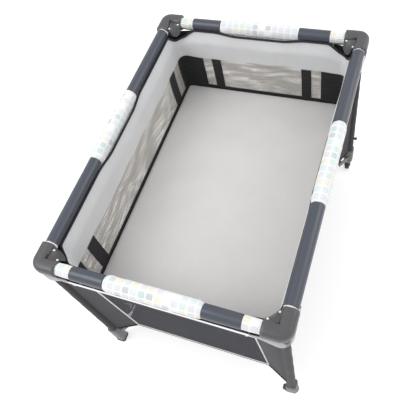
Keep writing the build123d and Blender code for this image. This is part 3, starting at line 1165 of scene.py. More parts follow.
@dataclass
class MouldedCorner:
    """A corner casting: a rounded elbow over the rail ends, a web in the bend, a leg socket, two rivets."""

    corner: Corner
    half_thick: float = 0.0215
    stands_out: float = 0.004
    stands_up: float = 0.002
    past_arm: float = 0.006
    squareness: float = 2.9
    bend_radius: float = 0.014
    web_drop: float = 0.040
    web_belly: float = 0.024
    web_rows: int = 12
    web_columns: int = 25
    rivet_radius: float = 0.0040
    rivet_far: float = 0.066
    rivet_near: float = 0.0415
    rivet_high: float = 0.0075
    socket_radius: float = 0.021
    socket_low: float = 0.652
    socket_chamfer: float = 0.002
    socket_high: float = 0.700

    def place(self, points: Array) -> Array:
        """Mirrors points drawn in the +X +Y quadrant to this corner.

        Args:
            points: The points, with X, Y and Z last.

        Returns:
            The mirrored points.
        """
        return np.asarray(points, float) * self.corner.mirror

    def elbow_path(self) -> Array:
        """The elbow's centre line, from the end of the X arm round to the end of the Y arm.

        Returns:
            Its points, n by 3.
        """
        inset = self.half_thick - self.stands_out
        x, y = SIZES.half_width - inset, SIZES.half_length - inset
        end_x, end_y = SIZES.arm_end(short=True), SIZES.arm_end(short=False) - self.past_arm
        bend = corner_bend(x, y, self.bend_radius, 14)
        steps = np.array([0.0, 0.0008, 0.003, 0.010, 0.020])
        first = np.stack([end_x + steps, np.full(len(steps), y)], axis=1)
        last = np.stack([np.full(len(steps), x), end_y + steps[::-1]], axis=1)
        flat = np.vstack([first, bend, last])
        return np.column_stack([flat, np.full(len(flat), SIZES.rail_z + self.stands_up)])

    def elbow(self) -> Object:
        """Builds the elbow, with its ends rounded in.

        Returns:
            The elbow.
        """
        path = self.elbow_path()
        angle = np.linspace(0.0, 2.0 * math.pi, 40, endpoint=False)
        power = 2.0 / self.squareness
        ring = self.half_thick * np.stack(
            [np.sign(f(angle)) * np.abs(f(angle)) ** power for f in (np.cos, np.sin)], axis=1
        )
        taper = np.ones(len(path))
        taper[[0, -1]] = 0.84
        taper[[1, -2]] = 0.93
        return MeshFactory.sweep("elbow", self.place(path), ring * taper[:, None, None])

    def web_edge(self, far: float, near: float, bend: float, end_high: float, bend_high: float) -> Array:
        """A long edge of the web, from the X arm round to the Y arm.

        Args:
            far: How far in from the corner its ends are, along their arm.
            near: How far in from the corner its ends are, across their arm.
            bend: How far in from the corner the point is that it bends towards.
            end_high: How high its ends are over the rails' axes.
            bend_high: How high the point is that it bends towards.

        Returns:
            Its points, n by 3.
        """
        x, y, z = SIZES.half_width, SIZES.half_length, SIZES.rail_z
        start = np.array([x - far, y - near, z + end_high])
        towards = np.array([x - bend, y - bend, z + bend_high])
        stop = np.array([x - near, y - far, z + end_high])
        t = np.linspace(0.0, 1.0, self.web_columns)[:, None]
        return (1 - t) ** 2 * start + 2 * t * (1 - t) * towards + t**2 * stop

    def web(self) -> Object:
        """Builds the web that falls from the elbow's shoulder towards the inside of the yard.

        Returns:
            The web.
        """
        top = self.web_edge(far=0.072, near=0.024, bend=0.018, end_high=0.015, bend_high=0.015)
        low = self.web_edge(far=0.075, near=0.050, bend=0.0655, end_high=-0.014, bend_high=-self.web_drop)
        middle = 0.35 * top + 0.65 * low + np.array([0.0, 0.0, self.web_belly])
        v = np.linspace(0.0, 1.0, self.web_rows)[:, None, None]
        grid = (1 - v) ** 2 * top + 2 * v * (1 - v) * middle + v**2 * low
        return MeshFactory.surface("web", self.place(grid))

    def socket(self) -> Object:
        """Builds the socket around the leg's top.

        Returns:
            The socket.
        """
        heights = np.array([self.socket_low, self.socket_low + self.socket_chamfer, self.socket_high])
        path = np.column_stack([np.full(3, SIZES.leg_x), np.full(3, SIZES.leg_y), heights])
        taper = np.array([0.94, 1.0, 1.0])[:, None, None]
        return MeshFactory.sweep("socket", self.place(path), circle(32, self.socket_radius) * taper)

    def rivets(self) -> list[Object]:
        """Builds the two rivet heads on the web.

        Returns:
            The heads.
        """
        heads = []
        insets = (self.rivet_far, self.rivet_near)
        for index, (in_x, in_y) in enumerate((insets, insets[::-1])):
            spot = (SIZES.half_width - in_x, SIZES.half_length - in_y, SIZES.rail_z + self.rivet_high)
            bpy.ops.mesh.primitive_uv_sphere_add(segments=20, ring_count=12, radius=self.rivet_radius)
            head = bpy.context.object
            head.name = f"rivet_{index}"
            head.data.transform(Matrix.Translation(Vector(self.place(spot))))
            head.data.shade_smooth()
            heads.append(dressed(head, Finishes.rivet))
        return heads

    def build(self) -> None:
        """Builds the whole corner and puts it on its leg's body."""
        hard = [dressed(part, Finishes.casting) for part in (self.elbow(), self.web(), self.socket())]
        whole = MeshFactory.joined(f"casting_{self.corner.label}", hard + self.rivets())
        MeshFactory.face_outwards(whole)
        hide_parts(f"corner_casting_{self.corner.label}")
        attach(whole, f"leg_{self.corner.label}")
        report(whole)


# ---------------------------------------------------------------- rail covers


@dataclass
class RailPads:
    """The printed pads over the middle of each rail: one stuffed form, simulated once and cut in two."""

    base_radius: float = 0.0236
    end_radius: float = 0.0205
    voxel: float = 0.005
    pressure: float = 4.0
    frames: int = 20
    quality: int = 5
    mass: float = 0.15
    most_swell: float = 0.0022
    rounding: float = 0.014
    held_end: float = 0.006
    fold_depth: float = 0.0011
    seam_depth: float = 0.0022
    seam_turn: float = 2.6
    seam_width: float = 0.10
    hinge_reach: float = 0.020
    print_step: float = 0.31

    def form(self) -> Object:
        """Builds the slack form before it is stuffed, in even faces.

        Returns:
            The form.
        """
        x = np.linspace(-SIZES.pad_half, SIZES.pad_half, 57)
        path = np.column_stack([x, np.zeros(len(x)), np.zeros(len(x))])
        closing = smoothstep(SIZES.pad_half, SIZES.pad_half - self.rounding, np.abs(x))
        radius = self.end_radius + (self.base_radius - self.end_radius) * closing
        obj = MeshFactory.sweep("pad_form", path, radius[:, None, None] * circle(36))
        obj.data.remesh_voxel_size = self.voxel
        bpy.context.view_layer.objects.active = obj
        obj.select_set(True)
        bpy.ops.object.voxel_remesh()
        return obj

    def stuff(self, obj: Object) -> None:
        """Swells the form with a short cloth simulation.

        Args:
            obj: The form, whose mesh is replaced.
        """
        rest = np.array([v.co for v in obj.data.vertices])
        held = obj.vertex_groups.new(name="Held")
        for index in np.flatnonzero(np.abs(rest[:, 0]) > SIZES.pad_half - self.held_end):
            held.add([int(index)], 1.0, "REPLACE")
        cloth = obj.modifiers.new("Cloth", "CLOTH")
        cloth.settings.quality = self.quality
        cloth.settings.mass = self.mass
        cloth.settings.use_pressure = True
        cloth.settings.uniform_pressure_force = self.pressure
        cloth.settings.effector_weights.gravity = 0.0
        cloth.settings.vertex_group_mass = held.name
        cloth.point_cache.frame_start, cloth.point_cache.frame_end = 1, self.frames
        for frame in range(1, self.frames + 1):
            bpy.context.scene.frame_set(frame)
        shown = obj.evaluated_get(bpy.context.evaluated_depsgraph_get())
        swollen = np.array([v.co for v in shown.data.vertices])
        obj.modifiers.remove(cloth)
        bpy.context.scene.frame_set(1)
        shift = swollen - rest
        far = np.linalg.norm(shift, axis=1)
        shift *= np.minimum(1.0, self.most_swell / np.maximum(far, 1e-9))[:, None]
        obj.data.vertices.foreach_set("co", (rest + shift).astype(np.float32).ravel())

    def pucker(self, obj: Object) -> None:
        """Adds the slack folds between the stuffing and the seam underneath.

        Args:
            obj: The stuffed pad.
        """
        points = np.array([v.co for v in obj.data.vertices])
        angle = np.arctan2(points[:, 1], points[:, 2])
        reach = np.maximum(np.hypot(points[:, 1], points[:, 2]), 1e-6)
        folds = self.fold_depth * ripple(points[:, 0], angle * reach, 7, 11, 0.022, 0.055)
        seam = -self.seam_depth * np.exp(-(((np.abs(angle) - self.seam_turn) / self.seam_width) ** 2))
        scale = 1.0 + (folds + seam) / reach
        points[:, 1:] *= scale[:, None]
        obj.data.vertices.foreach_set("co", points.astype(np.float32).ravel())

    def half(self, pad: Object, rail: Rail, side: int) -> None:
        """Builds one half of a rail's pad.

        Args:
            pad: The whole pad in its own frame.
            rail: The rail.
            side: The side of the middle, -1 or 1.
        """
        end = rail.end_labels[0 if side < 0 else 1]
        mesh = pad.data.copy()
        work = bmesh.new()
        work.from_mesh(mesh)
        bmesh.ops.bisect_plane(
            work,
            geom=work.verts[:] + work.edges[:] + work.faces[:],
            plane_co=(0.0, 0.0, 0.0),
            plane_no=(float(side), 0.0, 0.0),
            clear_inner=True,
        )
        out, along = (Vector((*direction, 0.0)) for direction in rail.value)
        centre = out * SIZES.rail_distance(rail.is_short) + Vector((0.0, 0.0, SIZES.rail_z))
        layer = work.loops.layers.uv.verify()
        shift = self.print_step * (rail.number + 1)
        for face in work.faces:
            angles = [math.atan2(loop.vert.co.y, loop.vert.co.z) for loop in face.loops]
            wraps = max(angles) - min(angles) > math.pi
            for loop, angle in zip(face.loops, angles):
                turned = angle + 2.0 * math.pi if wraps and angle < 0.0 else angle
                loop[layer].uv = (loop.vert.co.x + shift, turned * SIZES.pad_radius)
        for vertex in work.verts:
            x, y, z = vertex.co
            vertex.co = centre + along * x + out * y + Vector((0.0, 0.0, z))
        bmesh.ops.recalc_face_normals(work, faces=work.faces)
        work.to_mesh(mesh)
        work.free()
        obj = bpy.data.objects.new(f"pad_{rail.label}_{end}", mesh)
        bpy.context.scene.collection.objects.link(obj)
        dressed(obj, Finishes.printed)
        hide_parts(f"rail_pad_{rail.label}")
        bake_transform(obj)
        report(obj)

    def build(self) -> None:
        """Builds both halves of all four pads."""
        pad = self.form()
        self.stuff(pad)
        self.pucker(pad)
        finer = pad.modifiers.new("Finer", "SUBSURF")
        finer.levels = finer.render_levels = 1
        bpy.context.view_layer.objects.active = pad
        bpy.ops.object.modifier_apply(modifier=finer.name)
        pad.data.shade_smooth()
        for rail in Rail:
            for side in (-1, 1):
                self.half(pad, rail, side)
        bpy.data.objects.remove(pad)


@dataclass
class RailSleeves:
    """The pair of dark snap-on sleeves that hang the bassinet on one rail, open underneath."""

    rail: Rail
    opening: float = 0.0113
    beside_pad: float = 0.001
    waviness: float = 0.012
    stations: int = 26

    def build(self) -> None:
        """Builds the pair and puts it on the bassinet."""
        rail = self.rail
        out, along = np.array(rail.value[0]), np.array([-rail.value[0][1], rail.value[0][0]])
        radius = SIZES.sleeve_radius
        inside = radius - SIZES.sleeve_wall
        reach = math.pi - math.asin(self.opening / inside)
        turn = np.linspace(-reach, reach, 49)
        arc = np.stack([np.sin(turn), np.cos(turn)], axis=1)
        ring = np.vstack([radius * arc, inside * arc[::-1]])
        start, stop = SIZES.pad_half + self.beside_pad, SIZES.sleeve_end(rail.is_short)
        ends = np.array([0.0, 0.0006, 0.002])
        between = np.linspace(start + 0.006, stop - 0.006, self.stations)
        x = np.concatenate([start + ends, between, stop - ends[::-1]])
        swell = 1.0 + self.waviness * ripple(x, 0.0 * x, 5, 51 + rail.number, 0.05, 0.16)
        swell[[0, -1]] -= 0.03
        pair = []
        for side in (-1.0, 1.0):
            line, sizes = (x, swell) if side > 0.0 else (-x[::-1], swell[::-1])
            flat = out * SIZES.rail_distance(rail.is_short) + line[:, None] * along
            path = np.column_stack([flat, np.full(len(x), SIZES.rail_z)])
            pair.append(MeshFactory.sweep(f"sleeve_{side:+.0f}", path, ring * sizes[:, None, None]))
        whole = MeshFactory.joined(f"sleeves_{rail.label}", pair)
        MeshFactory.face_outwards(whole)
        dressed(whole, Finishes.sleeve)
        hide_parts(f"bassinet_sleeves_{rail.label}")
        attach(whole, "bassinet")
        report(whole)


@dataclass
class RailCuff:
    """A short gathered cuff of cloth that shows between a bassinet sleeve and a corner."""

    rail: Rail
    side: int
    sleeve_radius: float = 0.0185
    corner_radius: float = 0.0172
    gathers: int = 13
    gather_depth: float = 0.0007
    in_sleeve: float = 0.004
    in_arm: float = 0.003
    print_step: float = 0.7

    def build(self) -> None:
        """Builds the cuff and puts it on its half rail."""
        rail, short = self.rail, self.rail.is_short
        start, stop = SIZES.sleeve_end(short) - self.in_sleeve, SIZES.arm_end(short) + self.in_arm
        x = np.linspace(start, stop, 18)
        angle = np.linspace(0.0, 2.0 * math.pi, 90, endpoint=False)
        share = (x - start) / (stop - start)
        narrow = smoothstep(0.2, 1.0, share) if short else np.zeros(len(x))
        radius = self.sleeve_radius + (self.corner_radius - self.sleeve_radius) * narrow
        depth = self.gather_depth * (0.3 + share)
        folds = np.sin(self.gathers * angle + 6.0 * share[:, None]) + 0.5 * np.sin(5 * angle)
        reach = radius[:, None] + depth[:, None] * folds
        (ox, oy), (ax, ay) = rail.value
        distance = SIZES.rail_distance(rail.is_short) + reach * np.cos(angle)
        height = SIZES.rail_z + reach * np.sin(angle)
        along = np.broadcast_to(self.side * x[:, None], reach.shape)
        grid = np.stack([ox * distance + ax * along, oy * distance + ay * along, height], axis=2)
        turned = np.broadcast_to(angle * self.sleeve_radius, reach.shape)
        uvs = np.stack([along + self.print_step, turned], axis=2)
        end = rail.end_labels[0 if self.side < 0 else 1]
        obj = MeshFactory.surface(f"cuff_{rail.label}_{end}", grid, uvs, closed=True)
        dressed(obj, Finishes.printed if short else Finishes.piping)
        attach(obj, f"rail_{rail.label}_{end}_half")
        report(obj)


# ---------------------------------------------------------------- bassinet


@dataclass(frozen=True)
class RoundedLoop:
    """The rounded rectangle that the bassinet's walls follow, by length from the near side's left end."""

    half_x: float
    half_y: float
    radius: float

    @property
    def straight_x(self) -> float:
        """The length of a short side between its corner bends."""
        return 2.0 * (self.half_x - self.radius)

    @property
    def straight_y(self) -> float:
        """The length of a long side between its corner bends."""
        return 2.0 * (self.half_y - self.radius)

    @property
    def bend(self) -> float:
        """The length of one corner bend."""
        return math.pi / 2.0 * self.radius

    @property
    def length(self) -> float:
        """The length of the whole loop."""
        return 2.0 * (self.straight_x + self.straight_y) + 4.0 * self.bend

    def at(self, s: Array) -> tuple[Array, Array]:
        """Places and outward directions along the loop.

        Args:
            s: Lengths along the loop.

        Returns:
            The places and the directions, both n by 2.
        """
        s = np.mod(np.asarray(s, float), self.length)
        places, directions = np.zeros((len(s), 2)), np.zeros((len(s), 2))
        start, heading = 0.0, 0.0
        corner_x, corner_y = self.half_x - self.radius, self.half_y - self.radius
        centres = [(corner_x, -corner_y), (corner_x, corner_y), (-corner_x, corner_y), (-corner_x, -corner_y)]
        for index, centre in enumerate(centres):
            straight = self.straight_x if index % 2 == 0 else self.straight_y
            out = heading - math.pi / 2.0
            on_side = (s >= start) & (s < start + straight)
            back = straight - (s[on_side] - start)
            directions[on_side] = (math.cos(out), math.sin(out))
            places[on_side] = np.array(centre) + self.radius * directions[on_side]
            places[on_side] -= back[:, None] * np.array([math.cos(heading), math.sin(heading)])
            start += straight
            on_bend = (s >= start) & (s < start + self.bend)
            turned = out + (s[on_bend] - start) / self.radius
            directions[on_bend] = np.stack([np.cos(turned), np.sin(turned)], axis=1)
            places[on_bend] = np.array(centre) + self.radius * directions[on_bend]
            start += self.bend
            heading += math.pi / 2.0
        return places, directions

    def middle_of(self, rail: Rail) -> float:
        """The length along the loop to the middle of a side.

        Args:
            rail: The side's rail.

        Returns:
            The length along the loop.
        """
        sides = {
            Rail.NEAR: self.straight_x / 2.0,
            Rail.RIGHT: self.straight_x + self.bend + self.straight_y / 2.0,
            Rail.FAR: 1.5 * self.straight_x + 2.0 * self.bend + self.straight_y,
            Rail.LEFT: 2.0 * self.straight_x + 3.0 * self.bend + 1.5 * self.straight_y,
        }
        return sides[rail]


@dataclass
class BassinetLining:
    """The bassinet's walls: a cloth band, netting below it, dark strips over the netting and bound edges."""

    columns: int = 440
    band_rows: int = 16
    net_rows: int = 50
    binding_radius: float = 0.0040
    strip_gap: float = 0.0014
    skirt_low: float = 0.4120
    panel_short: float = 0.224
    panel_long: float = 0.425
    strip_short: tuple[float, float] = (0.171, 0.036)  # its middle from the side's middle, and its width
    strip_long: tuple[float, float] = (0.356, 0.046)
    edge_high: float = 0.6985
    pad_dip: float = 0.0075
    corner_dip: float = 0.031
    rail_gap: float = 0.0205
    pad_gap: float = 0.0045
    corner_gap: float = 0.0120
    floor_height: float = 0.4118
    floor_inset: float = 0.001
    loop: RoundedLoop = RoundedLoop(SIZES.lining_half_x + 0.001, SIZES.lining_half_y + 0.001, 0.028)

    @property
    def line(self) -> Array:
        """Even steps round the whole loop."""
        return np.linspace(0.0, self.loop.length, self.columns, endpoint=False)

    @property
    def net_height(self) -> float:
        """How high the netting is."""
        return SIZES.net_top - SIZES.lining_bottom

    def top_edge(self, s: Array) -> tuple[Array, Array]:
        """The height of the walls' top edge and how far it stands out from the walls.

        Args:
            s: Lengths along the loop.

        Returns:
            The heights and the distances.
        """
        places, directions = self.loop.at(s)
        on_short = np.abs(directions[:, 1]) ** 2
        heights, distances = np.zeros(len(s)), np.zeros(len(s))
        for short, weight in ((True, on_short), (False, 1.0 - on_short)):
            along = np.abs(places[:, 0] if short else places[:, 1])
            corner = (SIZES.lining_half_x if short else SIZES.lining_half_y) - 0.01
            rail_out = SIZES.rail_y - SIZES.lining_half_y if short else SIZES.rail_x - SIZES.lining_half_x
            beside_pad = smoothstep(SIZES.pad_half + 0.03, SIZES.pad_half - 0.06, along)
            past_sleeve = smoothstep(SIZES.sleeve_end(short) - 0.01, corner, along)
            heights += weight * (self.edge_high - self.pad_dip * beside_pad - self.corner_dip * past_sleeve)
            gap = self.rail_gap + self.pad_gap * beside_pad + self.corner_gap * past_sleeve
            distances += weight * (rail_out - gap)
        return heights, distances

    def band_low(self, s: Array) -> Array:
        """The height of the band's lower edge.

        Args:
            s: Lengths along the loop.

        Returns:
            The heights.
        """
        turns = 2.0 * math.pi * s
        return SIZES.net_top + 0.0025 * np.sin(turns / 0.41) + 0.0015 * np.sin(turns / 0.13)

    def net_out(self, s: Array, z: Array) -> Array:
        """How far the netting stands out from the walls' plane.

        Args:
            s: Lengths along the loop.
            z: Heights.

        Returns:
            The distances.
        """
        share = np.clip((z - SIZES.lining_bottom) / (SIZES.net_top - SIZES.lining_bottom), 0.0, 1.0)
        slack = np.sin(math.pi * share) ** 0.8
        bowed = z + 0.010 * np.sin(2.0 * math.pi * s / 0.23) + 0.012 * ripple(s, 0.0 * z, 4, 5, 0.10, 0.30)
        folds = np.sin(2.0 * math.pi * bowed / 0.021) * (0.6 + 0.4 * ripple(s, 0.5 * z, 4, 8, 0.06, 0.15))
        return slack * (0.0022 + 0.0006 * folds + 0.0012 * ripple(s, 0.8 * z, 4, 9, 0.10, 0.25))

    def lifted(self, s: Array, z: Array, out: Array) -> Array:
        """Points of the walls.

        Args:
            s: Lengths along the loop, rows by columns.
            z: Heights, of the same shape.
            out: Distances out from the walls' plane, of the same shape.

        Returns:
            The points, rows by columns by 3.
        """
        places, directions = self.loop.at(s.ravel())
        flat = places + directions * out.ravel()[:, None]
        return np.column_stack([flat, z.ravel()]).reshape(*s.shape, 3)

    def finished(self, obj: Object, finish: Finish) -> None:
        """Dresses a piece and puts it on the bassinet.

        Args:
            obj: The piece.
            finish: Its finish.
        """
        dressed(obj, finish)
        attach(obj, "bassinet")
        report(obj)

    def band(self) -> None:
        """Builds the cloth band."""
        s, v = np.meshgrid(self.line, np.linspace(0.0, 1.0, self.band_rows))
        top, out = self.top_edge(self.line)
        low = self.band_low(self.line)
        z = top + (low - top) * v
        spread_out = out * (1.0 - smoothstep(0.0, 0.45, v))
        sag = 0.0022 * np.sin(math.pi * v) * (0.6 + ripple(s, 0.6 * z, 6, 21, 0.12, 0.30))
        grid = self.lifted(s, z, spread_out + sag)
        obj = MeshFactory.surface("bassinet_band", grid, np.stack([s, z], axis=2), closed=True)
        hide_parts(*[f"bassinet_wall_{rail.label}" for rail in Rail])
        self.finished(obj, Finishes.lining)

    def net(self) -> None:
        """Builds the netting below the band."""
        s, v = np.meshgrid(self.line, np.linspace(0.0, 1.0, self.net_rows))
        top = self.band_low(self.line)
        z = top + (SIZES.lining_bottom - top) * v
        grid = self.lifted(s, z, self.net_out(s, z))
        obj = MeshFactory.surface("bassinet_net", grid, np.stack([s, z], axis=2), closed=True)
        self.finished(obj, Finishes.inner_net)

    def over_net(self, name: str, middle: float, width: float, columns: int) -> None:
        """Builds a dark cloth piece over the netting.

        Args:
            name: The piece's name.
            middle: Where its middle is along the loop.
            width: Its width.
            columns: How many columns of points it has.
        """
        line = middle + np.linspace(-width / 2.0, width / 2.0, columns)
        s, v = np.meshgrid(line, np.linspace(0.0, 1.0, self.net_rows))
        top = self.band_low(line) + 0.001
        z = top + (SIZES.lining_bottom - top) * v
        grid = self.lifted(s, z, self.net_out(s, z) - self.strip_gap)
        obj = MeshFactory.surface(name, grid, np.stack([s, z], axis=2))
        self.finished(obj, Finishes.strip)

    def strips(self) -> None:
        """Builds the dark strips over the netting, two on each side."""
        for rail in Rail:
            centre, width = self.strip_short if rail.is_short else self.strip_long
            for mark, side in (("a", -1), ("b", 1)):
                middle = self.loop.middle_of(rail) + side * centre
                self.over_net(f"strip_{rail.label}_{mark}", middle, width, 9)

    def corner_panels(self) -> None:
        """Builds the dark cloth panels that wrap the netting round each corner."""
        around = (Rail.NEAR, Rail.RIGHT, Rail.FAR, Rail.LEFT)
        to_next = (self.loop.straight_x + self.loop.straight_y) / 2.0 + self.loop.bend
        width = to_next - self.panel_short - self.panel_long
        for rail, following in zip(around, around[1:] + around[:1]):
            before = self.panel_short if rail.is_short else self.panel_long
            middle = self.loop.middle_of(rail) + before + width / 2.0
            self.over_net(f"corner_panel_{rail.label}_{following.label}", middle, width, 36)

    def skirt(self) -> None:
        """Builds the dark strip that joins the walls' lower edge to the floor, beside the mattress."""
        high = SIZES.lining_bottom + 0.003
        s, z = np.meshgrid(self.line, np.linspace(high, self.skirt_low, 5))
        grid = self.lifted(s, z, np.full(s.shape, -0.0008))
        obj = MeshFactory.surface("bassinet_skirt", grid, np.stack([s, z], axis=2), closed=True)
        self.finished(obj, Finishes.binding)

    def bindings(self) -> None:
        """Builds the dark bindings along the walls' top and bottom edges."""
        line = self.line
        top, out = self.top_edge(line)
        low = np.full(len(line), SIZES.lining_bottom + 0.002)
        edges = {
            "binding_top": (top, out, self.binding_radius),
            "binding_bottom": (low, np.full(len(line), -0.0010), self.binding_radius / 2.0),
        }
        for name, (z, away, radius) in edges.items():
            path = self.lifted(line[None, :], z[None, :], away[None, :])[0]
            self.finished(MeshFactory.cord(name, path, radius, closed=True), Finishes.binding)

    def floor(self) -> None:
        """Builds the cloth floor under the mattress."""
        half_x, half_y = SIZES.lining_half_x - self.floor_inset, SIZES.lining_half_y - self.floor_inset
        x, y = np.meshgrid(np.linspace(-half_x, half_x, 28), np.linspace(-half_y, half_y, 40))
        z = self.floor_height - 0.0008 * ripple(x, y, 5, 31, 0.12, 0.3)
        obj = MeshFactory.surface("bassinet_base", np.stack([x, y, z], axis=2), np.stack([x, y], axis=2))
        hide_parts("bassinet_floor")
        self.finished(obj, Finishes.charcoal)

    def build(self) -> None:
        """Builds all of the bassinet's cloth."""
        self.strips()
        self.band()
        self.net()
        self.corner_panels()
        self.skirt()
        self.bindings()
        self.floor()


@dataclass
class Mattress:
    """The bassinet's mattress in its sheet."""

    half_x: float = 0.3095
    half_y: float = 0.4595
    bottom: float = 0.4135
    top: float = 0.4355
    cells_x: int = 66
    cells_y: int = 96
    squareness_x: int = 40
    squareness_y: int = 50
    edge_power: float = 0.4
    softness: float = 0.0009

    def build(self) -> None:
        """Builds the mattress and puts it on its body."""
        turns = [np.linspace(-math.pi / 2.0, math.pi / 2.0, cells) for cells in (self.cells_x, self.cells_y)]
        u, v = np.meshgrid(*(np.sin(turn) for turn in turns))
        full_x, full_y = 1.0 - np.abs(u) ** self.squareness_x, 1.0 - np.abs(v) ** self.squareness_y
        full = full_x**self.edge_power * full_y**self.edge_power
        x, y = u * self.half_x, v * self.half_y
        middle, half = (self.top + self.bottom) / 2.0, (self.top - self.bottom) / 2.0
        soft = self.softness * ripple(x, y, 7, 3, 0.10, 0.28) * full
        upper = np.stack([x, y, middle + half * full + soft], axis=2)
        lower = np.stack([x, y, middle - half * full], axis=2)
        uvs = np.stack([x, y], axis=2)
        top = MeshFactory.surface("mattress_top", upper, uvs)
        base = MeshFactory.surface("mattress_base", lower, uvs)
        whole = MeshFactory.joined("mattress_in_sheet", [top, base])
        MeshFactory.face_outwards(whole, weld=True)
        dressed(whole, Finishes.mattress)
        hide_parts("mattress")
        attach(whole, "mattress")
        report(whole)


# ---------------------------------------------------------------- outer cover


@dataclass
class CoverQuarter:
    """A quarter of the outer cover: two half sides, the sleeve on the leg and the collar under the corner."""

    corner: Corner
    short_seam: float = 0.2525
    long_seam: float = 0.412
    hem_height: float = 0.108
    trim_low: float = 0.664
    trim_high: float = 0.687
    flare: float = 0.027
    sleeve_radius: float = 0.0144
    sleeve_low: float = 0.106
    sleeve_high: float = 0.662
    piping_radius: float = 0.0025
    hem_radius: float = 0.0038
    welt_radius: float = 0.0018
    seam_play: float = 0.015
    short_bulge: float = math.radians(18.0)
    long_bulge: float = math.radians(16.5)
    flare_low: float = 0.600
    over_leg: float = 0.004
    past_arm: float = 0.008
    trim_wave: float = 0.0045
    trim_lift: float = 0.0015
    cord_lift: float = 0.0012
    under_trim: float = 0.004
    column_width: float = 0.012
    collar_radius: float = 0.038
    collar_reach: float = 0.105
    collar_high: float = 0.6945
    collar_low: float = 0.642
    collar_bulge: float = 0.004

    def seam(self, short: bool) -> float:
        """How far from a side's middle its seam is.

        Args:
            short: Whether the side is a short one.

        Returns:
            The distance in metres.
        """
        return self.short_seam if short else self.long_seam

    def outwards(self, short: bool) -> Array:
        """The direction out of one side.

        Args:
            short: Whether the side is a short one.

        Returns:
            The direction, of length 1.
        """
        sign_x, sign_y = self.corner.value
        return np.array([0.0, sign_y, 0.0] if short else [sign_x, 0.0, 0.0])

    def wall(self, short: bool, along: Array, z: Array) -> Array:
        """Points of one side's cloth, for this corner.

        Args:
            short: Whether the side is a short one.
            along: Distances from the side's middle towards the corner, rows by columns.
            z: Heights, of the same shape.

        Returns:
            The points, rows by columns by 3.
        """
        face = SIZES.half_length if short else SIZES.half_width
        leg_along, leg_out = (SIZES.leg_x, SIZES.leg_y) if short else (SIZES.leg_y, SIZES.leg_x)
        seam = self.seam(short)
        lean = (z - SIZES.hem_height) / (SIZES.cover_top - SIZES.hem_height)
        plane = face - SIZES.hem_inset + (SIZES.hem_inset - SIZES.cover_top_inset) * lean
        to_leg = np.clip((along - seam) / (leg_along - seam), 0.0, 1.0)
        plane = plane + self.flare * smoothstep(self.flare_low, self.trim_low, z)
        out = plane + (leg_out + self.over_leg - plane) * to_leg
        slack = np.sin(math.pi * np.clip(along / seam, 0.0, 1.0)) * np.sin(math.pi * np.clip(lean, 0.0, 1.0))
        out = out - 0.0015 * slack + 0.0012 * slack * ripple(along, 0.5 * z, 5, 41 + short, 0.08, 0.22)
        sign_x, sign_y = self.corner.value
        if short:
            return np.stack([sign_x * along, sign_y * out, z], axis=2)
        return np.stack([sign_x * out, sign_y * along, z], axis=2)

    def folded(self, obj: Object) -> None:
        """Puts a piece of a side on its leg, so that it moves with the leg as the frame folds.

        Args:
            obj: The piece.
        """
        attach(obj, f"leg_{self.corner.label}")
        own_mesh(obj)
        report(obj)

    def patch(self, name: str, short: bool, start: float, stop: float, finish: Finish) -> None:
        """Builds a panel of one side.

        Args:
            name: What the panel is called.
            short: Whether the side is a short one.
            start: Where it starts, from the side's middle.
            stop: Where it stops.
            finish: Its finish.
        """
        columns = max(6, int((stop - start) / self.column_width))
        heights = np.linspace(self.hem_height, self.trim_low + self.under_trim, 40)
        along, z = np.meshgrid(np.linspace(start, stop, columns), heights)
        full_name = f"{name}_{self.corner.label}_{'short' if short else 'long'}"
        obj = MeshFactory.surface(full_name, self.wall(short, along, z), np.stack([along, z], axis=2))
        dressed(obj, finish)
        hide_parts(f"outer_cover_{self.corner.label}")
        self.corner.half_rail(short)
        self.folded(obj)

    def trim(self, short: bool) -> Object:
        """Builds the white trim along one side's top edge, as far as the corner's arm.

        Args:
            short: Whether the side is a short one.

        Returns:
            The trim.
        """
        side = f"{self.corner.label}_{'short' if short else 'long'}"
        length = SIZES.arm_end(short) + self.past_arm
        along = np.linspace(0.0, length, 56)
        low = self.trim_low + self.trim_wave * ripple(along, 0.0 * along, 5, 61 + short, 0.07, 0.22)
        z = low + (self.trim_high - low) * np.linspace(0.0, 1.0, 5)[:, None]
        grid = self.wall(short, np.broadcast_to(np.minimum(along, self.seam(short)), z.shape), z)
        axis = 0 if short else 1
        grid[:, :, axis] = self.corner.value[axis] * along
        uvs = np.stack([np.broadcast_to(along, z.shape), z], axis=2)
        obj = MeshFactory.surface(f"trim_{side}", grid + self.trim_lift * self.outwards(short), uvs)
        dressed(obj, Finishes.piping)
        return obj

    def edging(self, short: bool) -> None:
        """Builds one side's trim, seam piping, hem and the welt over the hem.

        Args:
            short: Whether the side is a short one.
        """
        seam, hem = self.seam(short), self.hem_height
        seam_top, hem_end = self.trim_low + 0.006, (SIZES.leg_x if short else SIZES.leg_y) - 0.006
        lines = {
            "piping": (np.full(50, seam), np.linspace(hem, seam_top, 50), self.cord_lift, self.piping_radius),
            "hem": (np.linspace(0.0, hem_end, 44), np.full(44, hem), 0.0, self.hem_radius),
            "welt": (np.linspace(0.0, seam, 36), np.full(36, hem + 0.006), self.cord_lift, self.welt_radius),
        }
        pieces = [self.trim(short)]
        for name, (along, z, away, radius) in lines.items():
            path = self.wall(short, along[None, :], z[None, :])[0] + away * self.outwards(short)
            full_name = f"{name}_{self.corner.label}_{'short' if short else 'long'}"
            cord = MeshFactory.cord(full_name, path, radius, sides=8)
            pieces.append(dressed(cord, Finishes.binding if name == "hem" else Finishes.piping))
        for piece in pieces:
            self.folded(piece)

